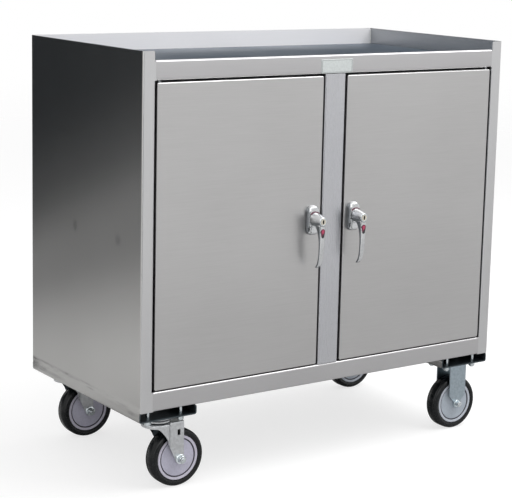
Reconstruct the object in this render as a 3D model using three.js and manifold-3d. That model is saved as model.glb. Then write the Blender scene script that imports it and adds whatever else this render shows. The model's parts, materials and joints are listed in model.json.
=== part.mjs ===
// Mobile workbench: a stainless steel cabinet with a recessed top, two doors with locking lever
// handles, and four casters. Millimetres, +Z up, front towards -Y, origin on the floor under the
// middle of the outline.
import * as THREE from 'three';
import { mergeVertices } from 'three/addons/utils/BufferGeometryUtils.js';
import Module from 'manifold-3d';

const wasm = await Module();
wasm.setup();

// Driving dimensions of the cabinet
const cabinetWidth = 914.4;
const cabinetDepth = 464;
const cabinetHeight = 707.6;
const sheet = 2;
const bendRadius = 2;
const seam = 0.3;
const overrun = 5;

// Front frame: side flanges, rails and centre post
const sideFlangeWidth = 27.9;
const sideReturnDepth = 20;
const sideCornerRadius = 6;
const backFlangeWidth = 20;
const frontLipDrop = 17.8;
const frontLipWidth = 12;
const worktopDrop = 36.7;
const topRailDrop = 56.4;
const railReturnDepth = 20;
const floorHeight = 39.8;
const bottomRailDepth = 32;
const bottomRailReturn = 10;
const bottomRailFlange = 12;
const floorFlange = 22;
const floorSideReturn = 14;
const postWidth = 51.8;
const postDepth = 25;
const postLip = 8;

// Middle shelf and its cleats
const shelfHeight = 343.4;
const shelfFrontInset = 45;
const shelfFlange = 25;
const shelfReturn = 12;
const cleatWidth = 20;
const cleatHeight = 22;

// Doors
const doorSheet = 1.6;
const doorDepth = 22;
const doorSideGap = 3.6;
const doorPostGap = 4.2;
const doorTopGap = 3.8;
const doorBottomGap = 1.8;
const doorEdgeRadius = 3;
const doorCornerRadius = 4;
const doorLip = 12;
const stiffenerWidth = 30;
const stiffenerFoot = 15;
const stiffenerEndGap = 36;

// Hinges: a pin at the top and the bottom of each door
const pivotInset = 8;
const pivotDepth = 7;
const hingePinRadius = 3;
const hingeHeadRadius = 3.8;
const hingeHeadHeight = 3;
const hingePinGrip = 14;
const hingeBracketLength = 30;
const hingeBracketSheet = 2.5;
const hingeBracketInset = 1;
const pinClearance = 0.3;

// Locking lever handles, measured from the spindle axis on the face of the door
const handleHeight = 353.4;
const handlePostOffset = 53;
const handleBaseWidth = 30;
const handleBaseHeight = 63;
const handleBaseDepth = 11;
const handleBaseEdge = 4;
const handleBaseLowerRadius = 11;
const handleBossRadius = 11;
const handleBossRecess = 6;
const leverReach = 40;
const leverDrop = 96;
const leverWidth = 13;
const leverThickness = 6.5;
const neckTop = 17.5;
const neckBottom = 12;
const neckHalfWidth = 13;
const lockFaceRadius = 9.2;
const lockPlugRadius = 6;
const lockPlugDepth = 16;
const lockPlugProud = 0.6;
const keySlotWidth = 1.8;
const keySlotHeight = 7.5;
const keySlotDepth = 3;
const spindleRadius = 5;
const spindleTailRadius = 3.9;
const camGap = 2;
const camThickness = 3;
const camLength = 41;
const camHubRadius = 9;
const camTipRadius = 6;
const spindleNutRadius = 7.5;
const spindleNutHeight = 6;
const spindleTailProud = 2;

// Caster channels under the cabinet, flush with its sides
const channelWidth = 133;
const channelHeight = 20.7;
const channelSheet = 2.5;
const channelEndInset = 3;
const channelLip = 34;
const channelLipSetback = 9;

// Casters
const casterHeight = 154;
const casterFrontInset = 44;
const casterRearInset = 43.8;
const plateLength = 90;
const plateWidth = 64;
const plateThickness = 3;
const plateCornerRadius = 7;
const boltSpacingX = 76;
const boltSpacingY = 50;
const boltRadius = 4;
const boltHeadRadius = 7;
const boltHeadHeight = 5;
const boltNutHeight = 6.5;
const boltTail = 2.5;
const swivelTrail = 40;
const forkSheet = 2.5;
const forkHalfWidth = 23;
const forkEndReach = 8.7;
const forkFootRadius = 11;
const yokeRadius = 33;
const yokeSkirt = 8;
const yokeCrease = 16.7;
const yokeLeadTop = -14;
const yokeEdgeRadius = 2.2;
const legSlotWidth = 6.6;
const legSlotHeight = 12;
const legSlotDrop = 17;
const raceRadius = 28;
const raceHeight = 5.9;
const raceEdge = 2.5;
const ballRingRadius = 26.5;
const ballRingInnerRadius = 19;
const ballRingHeight = 5.2;
const kingpinRadius = 6;
const kingpinHeadRadius = 11;
const kingpinHeadHeight = 5;
const rigidForkWidth = 47;
const rigidForkBend = 5;
const rigidTaperStart = 31;

// Wheels
const wheelRadius = 60;
const tireWidth = 33.2;
const tireShoulder = 8;
const hubRadius = 46.7;
const hubWidth = 30;
const hubBossRadius = 11;
const hubRimWidth = 6;
const hubDish = 1.6;
const hubGrooveWidth = 2.2;
const hubGrooveDepth = 2;
const axleRadius = 4.8;
const axleHeadRadius = 8.5;
const axleHeadHeight = 6;
const axleWasherRadius = 9.5;
const axleWasherHeight = 1.6;
const axleNutHeight = 7;
const axleTail = 3.5;

// Fineness of round forms
const mergeTolerance = 0.001;
const bendSteps = 2;
const cornerSteps = 3;
const chamferSteps = 1;
const roundSides = 16;
const pinSides = 10;
const wheelSides = 22;
const hexSides = 6;

// Materials
function metal(color, roughness, metalness) {
  return new THREE.MeshStandardMaterial({ color, roughness, metalness });
}
const brushedSteel = () => metal(0xb4b3b4, 0.35, 1);
const darkSteel = () => metal(0x8f9094, 0.5, 1);
const zincPlate = () => metal(0x9aa4a8, 0.35, 0.9);
const castBright = () => metal(0xd2d4d6, 0.2, 1);
const lockBrass = () => metal(0xb9b19c, 0.35, 0.9);
const hubPlastic = () => metal(0xaaa6b4, 0.5, 0);
const blackRubber = () => metal(0x1b1d1f, 0.7, 0);

// A closed mesh becomes a solid that can be joined and cut
function solidFrom(geometry) {
  const plain = geometry.clone();
  plain.deleteAttribute('normal');
  plain.deleteAttribute('uv');
  const merged = mergeVertices(plain, mergeTolerance);
  const corners = merged.index.array;
  const kept = [];
  for (let i = 0; i < corners.length; i += 3) {
    const [a, b, c] = [corners[i], corners[i + 1], corners[i + 2]];
    if (a !== b && b !== c && c !== a) {
      kept.push(a, b, c);
    }
  }
  const vertProperties = new Float32Array(merged.attributes.position.array);
  const triVerts = new Uint32Array(kept);
  return new wasm.Manifold(new wasm.Mesh({ numProp: 3, vertProperties, triVerts }));
}

function geometryFrom(solid) {
  const mesh = solid.getMesh();
  const geometry = new THREE.BufferGeometry();
  geometry.setAttribute('position', new THREE.BufferAttribute(mesh.vertProperties, 3));
  geometry.setIndex(new THREE.BufferAttribute(mesh.triVerts, 1));
  geometry.computeVertexNormals();
  return geometry;
}

// A mirrored copy, with its triangles turned round so that they still face outwards
function mirrored(geometry, scaleX, scaleZ) {
  const flipped = geometry.clone();
  flipped.scale(scaleX, 1, scaleZ);
  const corners = flipped.index.array;
  for (let i = 0; i < corners.length; i += 3) {
    const first = corners[i];
    corners[i] = corners[i + 1];
    corners[i + 1] = first;
  }
  flipped.computeVertexNormals();
  return flipped;
}

function mirroredInX(geometry) {
  return mirrored(geometry, -1, 1);
}

// The same piece upside down, for the top of the door
function turnedOver(solid, height) {
  const geometry = mirrored(geometryFrom(solid), 1, -1);
  geometry.translate(0, 0, height);
  return solidFrom(geometry);
}

function joined(solids) {
  return solids.reduce((whole, next) => whole.add(next));
}

function cutBy(solid, cutters) {
  return cutters.reduce((whole, next) => whole.subtract(next), solid);
}

// Prisms: an outline drawn across one axis, carried along it from one place to another
function extruded(outline, length, options) {
  const shape = outline instanceof THREE.Shape ? outline : new THREE.Shape(outline);
  const plain = { depth: length, bevelEnabled: false, steps: 1, curveSegments: cornerSteps };
  return new THREE.ExtrudeGeometry(shape, { ...plain, ...options });
}

function prismAlongX(outline, from, to) {
  const geometry = extruded(outline, to - from);
  geometry.applyMatrix4(new THREE.Matrix4().set(0, 0, 1, from, 1, 0, 0, 0, 0, 1, 0, 0, 0, 0, 0, 1));
  return solidFrom(geometry);
}

function prismAlongY(outline, from, to) {
  const geometry = extruded(outline, to - from);
  geometry.applyMatrix4(new THREE.Matrix4().set(1, 0, 0, 0, 0, 0, -1, to, 0, 1, 0, 0, 0, 0, 0, 1));
  return solidFrom(geometry);
}

function prismAlongZ(outline, from, to) {
  const geometry = extruded(outline, to - from);
  geometry.translate(0, 0, from);
  return solidFrom(geometry);
}

function block(x0, x1, y0, y1, z0, z1) {
  const geometry = new THREE.BoxGeometry(x1 - x0, y1 - y0, z1 - z0);
  geometry.translate((x0 + x1) / 2, (y0 + y1) / 2, (z0 + z1) / 2);
  return solidFrom(geometry);
}

// Round bars; a turned profile is a list of (radius, place along the axis)
function barAlongY(radius, from, to, x, z, sides = roundSides) {
  const geometry = new THREE.CylinderGeometry(radius, radius, to - from, sides);
  geometry.translate(x, (from + to) / 2, z);
  return solidFrom(geometry);
}

function barAlongZ(radius, from, to, x, y, sides = roundSides) {
  const geometry = new THREE.CylinderGeometry(radius, radius, to - from, sides);
  geometry.rotateX(Math.PI / 2);
  geometry.translate(x, y, (from + to) / 2);
  return solidFrom(geometry);
}

function turnedAlongZ(profile, sides = roundSides) {
  const points = profile.map(([radius, place]) => new THREE.Vector2(radius, place));
  const geometry = new THREE.LatheGeometry(points, sides);
  geometry.rotateX(Math.PI / 2);
  return solidFrom(geometry);
}

// Wheel parts turn about Y and rest on the middle of a facet, which touches the true radius
function turnedAlongY(profile, sides) {
  const facetShare = 1 / Math.cos(Math.PI / sides);
  const points = profile.map(([radius, place]) => new THREE.Vector2(radius * facetShare, place));
  return solidFrom(new THREE.LatheGeometry(points, sides, Math.PI / sides));
}

// An arc as points, from one angle to another
function arcPoints(x, y, radius, from, to, steps) {
  const points = [];
  for (let i = 0; i <= steps; i += 1) {
    const angle = from + ((to - from) * i) / steps;
    points.push(new THREE.Vector2(x + radius * Math.cos(angle), y + radius * Math.sin(angle)));
  }
  return points;
}

function roundedRectangle(width, height, radius, steps = cornerSteps) {
  const x = width / 2 - radius;
  const y = height / 2 - radius;
  const quarter = Math.PI / 2;
  return [
    ...arcPoints(x, y, radius, 0, quarter, steps),
    ...arcPoints(-x, y, radius, quarter, 2 * quarter, steps),
    ...arcPoints(-x, -y, radius, 2 * quarter, 3 * quarter, steps),
    ...arcPoints(x, -y, radius, 3 * quarter, 4 * quarter, steps),
  ];
}

// Rounds the corners of an open line; radiusAt gives each corner's radius from its turn
function filletedLine(line, radiusAt) {
  const points = [line[0]];
  for (let i = 1; i < line.length - 1; i += 1) {
    const into = line[i].clone().sub(line[i - 1]).normalize();
    const out = line[i + 1].clone().sub(line[i]).normalize();
    const turn = Math.atan2(into.cross(out), into.dot(out));
    const radius = radiusAt(turn);
    const side = Math.sign(turn);
    const start = line[i].clone().addScaledVector(into, -radius * Math.tan(Math.abs(turn) / 2));
    const centreX = start.x - into.y * side * radius;
    const centreY = start.y + into.x * side * radius;
    const angle = Math.atan2(start.y - centreY, start.x - centreX);
    points.push(...arcPoints(centreX, centreY, radius, angle, angle + turn, bendSteps));
  }
  points.push(line[line.length - 1]);
  return points;
}

// The section of a folded sheet: the line follows its outer face, and the sheet lies to the right
function foldedSection(corners, thickness, insideRadius) {
  const outer = corners.map(([x, y]) => new THREE.Vector2(x, y));
  const inner = outer.map((point, i) => {
    const before = outer[Math.max(i - 1, 0)];
    const after = outer[Math.min(i + 1, outer.length - 1)];
    const into = (i > 0 ? point.clone().sub(before) : after.clone().sub(point)).normalize();
    const out = (i < outer.length - 1 ? after.clone().sub(point) : into.clone()).normalize();
    const normalIn = new THREE.Vector2(into.y, -into.x);
    const normalOut = new THREE.Vector2(out.y, -out.x);
    const miter = thickness / (1 + normalIn.dot(normalOut));
    return point.clone().addScaledVector(normalIn.add(normalOut), miter);
  });
  const tight = insideRadius;
  const wide = insideRadius + thickness;
  const front = filletedLine(outer, (turn) => (turn > 0 ? tight : wide));
  const back = filletedLine(inner, (turn) => (turn > 0 ? wide : tight));
  return [...front, ...back.reverse()];
}

// A solid skinned over rings that all have the same number of points
function loftedSolid(rings) {
  const count = rings[0].length;
  const positions = rings.flat().flatMap((point) => [point.x, point.y, point.z]);
  const triangles = [];
  for (let r = 0; r < rings.length - 1; r += 1) {
    for (let i = 0; i < count; i += 1) {
      const a = r * count + i;
      const b = r * count + ((i + 1) % count);
      triangles.push(a, b, b + count, a, b + count, a + count);
    }
  }
  const last = (rings.length - 1) * count;
  for (let i = 1; i < count - 1; i += 1) {
    triangles.push(0, i + 1, i, last, last + i, last + i + 1);
  }
  const geometry = new THREE.BufferGeometry();
  geometry.setAttribute('position', new THREE.Float32BufferAttribute(positions, 3));
  geometry.setIndex(triangles);
  return solidFrom(geometry);
}

function part(name, solid, material) {
  const mesh = new THREE.Mesh(geometryFrom(solid), material);
  mesh.name = name;
  return mesh;
}

function groupAt(x, y, z, children = []) {
  const group = new THREE.Group();
  group.position.set(x, y, z);
  children.forEach((child) => group.add(child));
  return group;
}

// Places that several pieces share
const frontLipHeight = cabinetHeight - frontLipDrop;
const worktopHeight = cabinetHeight - worktopDrop;
const topRailBottom = cabinetHeight - topRailDrop;
const insideLeft = sheet + seam;
const insideRight = cabinetWidth - insideLeft;
const frameLeft = sideFlangeWidth + seam;
const frameRight = cabinetWidth - frameLeft;
const clearOfBend = sheet + bendRadius;
const backFace = cabinetDepth - 2 * (sheet + seam);
const doorBottom = floorHeight + doorBottomGap;
const doorTop = topRailBottom - doorTopGap;
const doorHeight = doorTop - doorBottom;
const doorOuterEdge = sideFlangeWidth + doorSideGap;
const doorInnerEdge = (cabinetWidth - postWidth) / 2 - doorPostGap;
const doorWidth = doorInnerEdge - doorOuterEdge;
const pivotX = doorOuterEdge + pivotInset;
const handleX = cabinetWidth / 2 - handlePostOffset;
const channelCentre = channelWidth / 2;
const carcassBottom = casterHeight + seam + channelHeight;
const axleDrop = casterHeight - wheelRadius;
const boltPlaces = [-1, 1].flatMap((alongX) =>
  [-1, 1].map((alongY) => [(alongX * boltSpacingX) / 2, (alongY * boltSpacingY) / 2]),
);
const casterRows = [casterFrontInset, cabinetDepth - casterRearInset];

// Side panel: one sheet folded into the side, the front flange with its return, and the back flange
function sidePanel() {
  const folded = foldedSection(
    [
      [sideFlangeWidth, sideReturnDepth],
      [sideFlangeWidth, 0],
      [0, 0],
      [0, cabinetDepth],
      [backFlangeWidth, cabinetDepth],
    ],
    sheet,
    bendRadius,
  );
  const panel = prismAlongZ(folded, 0, cabinetHeight);
  const inner = sideFlangeWidth - sheet - bendRadius;
  const clearOfReturn = [inner, sideFlangeWidth + overrun, sheet, sideReturnDepth + overrun];
  const overTopRail = block(...clearOfReturn, topRailBottom - doorTopGap, cabinetHeight + overrun);
  const underBottomRail = block(...clearOfReturn, -overrun, floorHeight + doorBottomGap);
  const cornerX = sideFlangeWidth - sideCornerRadius;
  const cornerZ = cabinetHeight - sideCornerRadius;
  const corner = [
    new THREE.Vector2(sideFlangeWidth + overrun, cornerZ),
    new THREE.Vector2(sideFlangeWidth + overrun, cabinetHeight + overrun),
    new THREE.Vector2(cornerX, cabinetHeight + overrun),
    ...arcPoints(cornerX, cornerZ, sideCornerRadius, Math.PI / 2, 0, cornerSteps),
  ];
  return cutBy(panel, [overTopRail, underBottomRail, prismAlongY(corner, -overrun, sheet + overrun)]);
}

function backPanel() {
  const rear = cabinetDepth - sheet - seam;
  return block(clearOfBend, cabinetWidth - clearOfBend, rear - sheet, rear, 0, cabinetHeight);
}

function onBothSides(leftSolid) {
  const right = mirroredInX(geometryFrom(leftSolid));
  right.translate(cabinetWidth, 0, 0);
  return leftSolid.add(solidFrom(right));
}

function hingePinHoles(level) {
  const radius = hingePinRadius + pinClearance;
  return [pivotX, cabinetWidth - pivotX].map((x) =>
    barAlongZ(radius, level - overrun, level + overrun, x, pivotDepth, pinSides),
  );
}

// Work top: the recessed tray, the raised front lip and the top rail are one folded sheet
function workTop() {
  const folded = foldedSection(
    [
      [railReturnDepth, topRailBottom],
      [0, topRailBottom],
      [0, frontLipHeight],
      [frontLipWidth, frontLipHeight],
      [frontLipWidth, worktopHeight],
      [backFace - seam, worktopHeight],
    ],
    sheet,
    bendRadius,
  );
  const middle = prismAlongX(folded, frameLeft, frameRight);
  const sideSpan = [insideLeft, frameLeft + overrun, clearOfBend, backFace - seam];
  const side = block(...sideSpan, worktopHeight - sheet, worktopHeight);
  return cutBy(middle.add(onBothSides(side)), hingePinHoles(topRailBottom));
}

// Bottom rail: carries the foot of the centre post and the lower hinge pins
function bottomRail() {
  const folded = foldedSection(
    [
      [bottomRailReturn, 0],
      [0, 0],
      [0, floorHeight],
      [bottomRailDepth, floorHeight],
      [bottomRailDepth, floorHeight - bottomRailFlange],
    ],
    sheet,
    bendRadius,
  );
  const middle = prismAlongX(folded, frameLeft, frameRight);
  const sideSpan = [insideLeft, frameLeft + overrun, clearOfBend, bottomRailDepth - bendRadius - sheet];
  const side = block(...sideSpan, floorHeight - sheet, floorHeight);
  return cutBy(middle.add(onBothSides(side)), hingePinHoles(floorHeight));
}

// Cabinet floor: a pan turned down on all four sides, behind the bottom rail
function cabinetFloor() {
  const front = bottomRailDepth + seam;
  const rear = backFace - seam;
  const alongDepth = foldedSection(
    [
      [front, floorHeight - floorFlange],
      [front, floorHeight],
      [rear, floorHeight],
      [rear, floorHeight - floorFlange],
    ],
    sheet,
    bendRadius,
  );
  const side = foldedSection(
    [
      [insideLeft + floorSideReturn, 0],
      [insideLeft, 0],
      [insideLeft, floorHeight],
      [frameLeft + overrun, floorHeight],
    ],
    sheet,
    bendRadius,
  );
  const middle = prismAlongX(alongDepth, frameLeft, frameRight);
  return middle.add(onBothSides(prismAlongY(side, front, rear)));
}

function centrePost() {
  const half = postWidth / 2;
  const folded = foldedSection(
    [
      [half - postLip, postDepth],
      [half, postDepth],
      [half, 0],
      [-half, 0],
      [-half, postDepth],
      [-half + postLip, postDepth],
    ],
    sheet,
    bendRadius,
  );
  return prismAlongZ(folded, floorHeight + seam, topRailBottom - seam);
}

function middleShelf() {
  const front = shelfFrontInset;
  const rear = backFace - seam;
  const folded = foldedSection(
    [
      [front + shelfReturn, shelfHeight - shelfFlange],
      [front, shelfHeight - shelfFlange],
      [front, shelfHeight],
      [rear, shelfHeight],
      [rear, shelfHeight - shelfFlange],
    ],
    sheet,
    bendRadius,
  );
  return prismAlongX(folded, insideLeft, insideRight);
}

function shelfCleat() {
  const top = shelfHeight - sheet - seam;
  const folded = foldedSection(
    [
      [insideLeft, top - cleatHeight],
      [insideLeft, top],
      [insideLeft + cleatWidth, top],
    ],
    sheet,
    bendRadius,
  );
  const front = shelfFrontInset + sheet + bendRadius;
  const rear = backFace - seam - sheet - bendRadius;
  return prismAlongY(folded, front + shelfReturn, rear);
}

// Caster channel: a folded section, open at both ends, with lips that the caster bolts pull on
function casterChannel() {
  const half = channelWidth / 2;
  const top = -seam;
  const bottom = -channelHeight;
  const folded = foldedSection(
    [
      [half - channelLip, top],
      [half, top],
      [half, bottom],
      [-half, bottom],
      [-half, top],
      [-half + channelLip, top],
    ],
    channelSheet,
    bendRadius,
  );
  const length = cabinetDepth - 2 * channelEndInset;
  const lipCutter = block(
    -half + channelSheet + bendRadius,
    half - channelSheet - bendRadius,
    -overrun,
    channelLipSetback,
    top - channelSheet - bendRadius,
    overrun,
  );
  const holes = casterRows.flatMap((row) =>
    boltPlaces.map(([x, y]) => {
      const radius = boltRadius + pinClearance;
      return barAlongZ(radius, bottom - overrun, overrun, x, row - channelEndInset + y, hexSides);
    }),
  );
  return cutBy(prismAlongY(folded, 0, length), [lipCutter, ...holes]);
}

// Block with a rounded front edge, whose front face is at y = front
function roundedFrontBlock(outline, front, rear, edgeRadius) {
  const depth = rear - front;
  const shape = new THREE.Shape(outline);
  const geometry = extruded(shape, depth, {
    bevelEnabled: true,
    bevelThickness: edgeRadius,
    bevelSize: edgeRadius,
    bevelOffset: -edgeRadius,
    bevelSegments: bendSteps,
  });
  geometry.applyMatrix4(new THREE.Matrix4().set(1, 0, 0, 0, 0, 0, -1, rear, 0, 1, 0, 0, 0, 0, 0, 1));
  geometry.translate(0, edgeRadius, 0);
  const solid = solidFrom(geometry);
  const box = new THREE.Box2().setFromPoints(outline);
  const sides = [box.min.x - overrun, box.max.x + overrun];
  const ends = [box.min.y - overrun, box.max.y + overrun];
  return solid.subtract(block(...sides, rear, rear + 2 * edgeRadius + overrun, ...ends));
}

// Prism along Z whose upper edge is rounded
function roundedTopPrism(outline, from, to, edgeRadius) {
  const geometry = extruded(outline, to - from, {
    bevelEnabled: true,
    bevelThickness: edgeRadius,
    bevelSize: edgeRadius,
    bevelOffset: -edgeRadius,
    bevelSegments: bendSteps,
  });
  geometry.translate(0, 0, from - edgeRadius);
  const box = new THREE.Box2().setFromPoints(outline);
  const spanX = [box.min.x - overrun, box.max.x + overrun];
  const spanY = [box.min.y - overrun, box.max.y + overrun];
  return solidFrom(geometry).subtract(block(...spanX, ...spanY, from - edgeRadius - overrun, from));
}

// Door pan, measured from its pivot: the face, four side flanges and a lip all round the back
function doorPanel() {
  const centreX = doorWidth / 2 - pivotInset;
  const centreZ = doorHeight / 2;
  const placed = (points) => points.map(({ x, y }) => new THREE.Vector2(x + centreX, y + centreZ));
  const outerOutline = placed(roundedRectangle(doorWidth, doorHeight, doorCornerRadius));
  const inset = 2 * doorSheet;
  const innerRadius = doorCornerRadius - doorSheet;
  const innerSize = [doorWidth - inset, doorHeight - inset];
  const innerOutline = placed(roundedRectangle(...innerSize, innerRadius, chamferSteps));
  const mouthInset = inset + 2 * doorLip;
  const mouthSize = [doorWidth - mouthInset, doorHeight - mouthInset];
  const mouthOutline = placed(roundedRectangle(...mouthSize, innerRadius, chamferSteps));
  const front = -pivotDepth;
  const rear = front + doorDepth;
  const outer = roundedFrontBlock(outerOutline, front, rear, doorEdgeRadius);
  const cavityFront = front + doorSheet;
  const cavity = roundedFrontBlock(innerOutline, cavityFront, rear - doorSheet, doorEdgeRadius - doorSheet);
  const mouth = prismAlongY(mouthOutline, rear - doorSheet - overrun, rear + overrun);
  const pinHole = barAlongZ(hingePinRadius + pinClearance, -overrun, doorHeight + overrun, 0, 0);
  const spindleSpan = [front - overrun, front + overrun];
  const spindleHole = barAlongY(
    spindleRadius + pinClearance,
    ...spindleSpan,
    handleX - pivotX,
    handleHeight - doorBottom,
  );
  return cutBy(outer, [cavity, mouth, pinHole, spindleHole]);
}

function doorStiffener() {
  const centre = doorWidth / 2 - pivotInset;
  const low = -pivotDepth + doorSheet + seam;
  const high = -pivotDepth + doorDepth - doorSheet - seam - sheet;
  const half = stiffenerWidth / 2;
  const foot = half + stiffenerFoot;
  const folded = foldedSection(
    [
      [centre + foot, low],
      [centre + half, low],
      [centre + half, high],
      [centre - half, high],
      [centre - half, low],
      [centre - foot, low],
    ],
    doorSheet,
    bendRadius,
  );
  return prismAlongZ(folded, stiffenerEndGap, doorHeight - stiffenerEndGap);
}

// Angle bracket inside a door corner, bored for the hinge pin
function hingeBracket() {
  const edge = -pivotInset + doorSheet + seam;
  const level = doorSheet + seam;
  const folded = foldedSection(
    [
      [edge + hingeBracketLength, level],
      [edge, level],
      [edge, level + hingeBracketLength],
    ],
    hingeBracketSheet,
    bendRadius,
  );
  const front = -pivotDepth + doorSheet + hingeBracketInset;
  const rear = -pivotDepth + doorDepth - doorSheet - seam;
  const hole = barAlongZ(hingePinRadius + pinClearance, 0, level + hingeBracketSheet + overrun, 0, 0);
  return prismAlongY(folded, front, rear).subtract(hole);
}

// Hinge pin with its head at the far side of the rail or floor that holds it
function hingePin(holderThickness, gapToDoor) {
  const headTop = -gapToDoor - holderThickness - seam;
  return turnedAlongZ([
    [0, headTop - hingeHeadHeight],
    [hingeHeadRadius, headTop - hingeHeadHeight],
    [hingeHeadRadius, headTop],
    [hingePinRadius, headTop],
    [hingePinRadius, hingePinGrip - hingePinRadius / 2],
    [hingePinRadius / 2, hingePinGrip],
    [0, hingePinGrip],
  ], pinSides);
}

// Handle base: upright plate with a round top, bored for the boss of the lever
function handleBase() {
  const half = handleBaseWidth / 2;
  const upper = handleBaseHeight / 2 - half;
  const lower = handleBaseHeight / 2 - handleBaseLowerRadius;
  const lowerX = half - handleBaseLowerRadius;
  const outline = [
    ...arcPoints(0, upper, half, 0, Math.PI, 2 * cornerSteps),
    ...arcPoints(-lowerX, -lower, handleBaseLowerRadius, Math.PI, 1.5 * Math.PI, cornerSteps),
    ...arcPoints(lowerX, -lower, handleBaseLowerRadius, 1.5 * Math.PI, 2 * Math.PI, cornerSteps),
  ];
  const front = -seam - handleBaseDepth;
  const plate = roundedFrontBlock(outline, front, -seam, handleBaseEdge);
  const boss = barAlongY(handleBossRadius + pinClearance, front - overrun, front + handleBossRecess, 0, 0);
  const bore = barAlongY(spindleRadius + pinClearance, front - overrun, overrun, 0, 0);
  return cutBy(plate, [boss, bore]);
}

function ovalRing(y, centreZ, halfWidth, halfHeight) {
  const ring = [];
  for (let i = 0; i < roundSides; i += 1) {
    const angle = (-2 * Math.PI * i) / roundSides;
    ring.push(new THREE.Vector3(halfWidth * Math.cos(angle), y, centreZ + halfHeight * Math.sin(angle)));
  }
  return ring;
}

// Neck of the lever: wide and tall at the base, drawn in to the round lock face
function leverNeck() {
  const start = -seam - handleBaseDepth - seam;
  const run = -leverReach - start;
  const ringShares = [0, 0.2, 0.5, 0.8, 0.96, 1];
  const swellShares = [1, 0.93, 0.62, 0.16, 0, 0];
  const faceShares = [1, 1, 1, 1, 1, 0.88];
  const rings = ringShares.map((share, i) => {
    const swell = swellShares[i];
    const top = lockFaceRadius + (neckTop - lockFaceRadius) * swell;
    const bottom = lockFaceRadius + (neckBottom - lockFaceRadius) * swell;
    const halfWidth = (lockFaceRadius + (neckHalfWidth - lockFaceRadius) * swell) * faceShares[i];
    const halfHeight = ((top + bottom) / 2) * faceShares[i];
    return ovalRing(start + run * share, (top - bottom) / 2, halfWidth, halfHeight);
  });
  return loftedSolid(rings.reverse());
}

// Arm of the lever: leaves the neck, hangs down and curls back towards the door at its tip
function leverArm() {
  const reachShares = [0.84, 0.88, 0.9, 0.905, 0.9, 0.87, 0.76, 0.62];
  const dropShares = [0, 0.1, 0.24, 0.42, 0.62, 0.8, 0.93, 1];
  const widthShares = [1, 1.05, 1, 0.96, 0.94, 0.86, 0.72, 0.5];
  const thicknessShares = [1, 1, 1, 1, 1, 0.96, 0.82, 0.6];
  const cornerShare = 0.35;
  const path = reachShares.map((share, i) => {
    return new THREE.Vector2(-leverReach * share, -leverDrop * dropShares[i]);
  });
  const rings = path.map((point, i) => {
    const before = path[Math.max(i - 1, 0)];
    const after = path[Math.min(i + 1, path.length - 1)];
    const along = after.clone().sub(before).normalize();
    const across = new THREE.Vector2(along.y, -along.x);
    const width = leverWidth * widthShares[i];
    const thickness = leverThickness * thicknessShares[i];
    const outline = roundedRectangle(width, thickness, thickness * cornerShare, chamferSteps);
    return outline.map((p) => {
      const offset = across.clone().multiplyScalar(p.y);
      return new THREE.Vector3(p.x, point.x + offset.x, point.y + offset.y);
    });
  });
  return loftedSolid(rings);
}

function handleLever() {
  const baseFront = -seam - handleBaseDepth;
  const neckStart = baseFront - seam;
  const camFront = postDepth + camGap;
  const tailEnd = camFront + camThickness + seam + spindleNutHeight + spindleTailProud;
  const boss = barAlongY(handleBossRadius, neckStart - seam, baseFront + handleBossRecess - seam, 0, 0);
  const spindle = barAlongY(spindleRadius, baseFront, camFront - seam, 0, 0, pinSides);
  const tail = barAlongY(spindleTailRadius, 0, tailEnd, 0, 0, pinSides);
  const plugSpan = [-leverReach - overrun, -leverReach + lockPlugDepth];
  const plugBore = barAlongY(lockPlugRadius + pinClearance, ...plugSpan, 0, 0);
  return joined([leverNeck(), leverArm(), boss, spindle, tail]).subtract(plugBore);
}

function lockPlug() {
  const front = -leverReach - lockPlugProud;
  const plug = barAlongY(lockPlugRadius, front, -leverReach + lockPlugDepth - seam, 0, 0);
  const halfSlot = keySlotWidth / 2;
  const slotTop = keySlotHeight / 2;
  const slot = block(-halfSlot, halfSlot, front - overrun, front + keySlotDepth, -slotTop, slotTop);
  return plug.subtract(slot);
}

// Latch cam on the tail of the spindle; it stands up at rest and passes behind the post when turned
function latchCam() {
  const front = postDepth + camGap;
  const reach = camLength - camTipRadius;
  const outline = [
    ...arcPoints(0, 0, camHubRadius, Math.PI, 2 * Math.PI, 2 * cornerSteps),
    ...arcPoints(0, reach, camTipRadius, 0, Math.PI, 2 * cornerSteps),
  ];
  const rear = front + camThickness;
  const bore = barAlongY(spindleTailRadius + pinClearance, front - overrun, rear + overrun, 0, 0);
  return prismAlongY(outline, front, rear).subtract(bore);
}

function spindleNut() {
  const front = postDepth + camGap + camThickness + seam;
  const rear = front + spindleNutHeight;
  const bore = barAlongY(spindleTailRadius + pinClearance, front - overrun, rear + overrun, 0, 0);
  return barAlongY(spindleNutRadius, front, rear, 0, 0, hexSides).subtract(bore);
}

// Caster plate with its four bolts; the heads pull down on the lips of the channel
function boltedPlate() {
  const outline = roundedRectangle(plateLength, plateWidth, plateCornerRadius);
  const plate = prismAlongZ(outline, -plateThickness, 0);
  const headSeat = channelHeight + seam;
  const headTop = headSeat + boltHeadHeight;
  const nutBottom = -plateThickness - boltNutHeight;
  const fasteners = boltPlaces.flatMap(([x, y]) => [
    barAlongZ(boltRadius, nutBottom - boltTail, headTop, x, y, hexSides),
    barAlongZ(boltHeadRadius, headSeat, headTop, x, y, hexSides),
    barAlongZ(boltHeadRadius, nutBottom, -plateThickness, x, y, hexSides),
  ]);
  return joined([plate, ...fasteners]);
}

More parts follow.
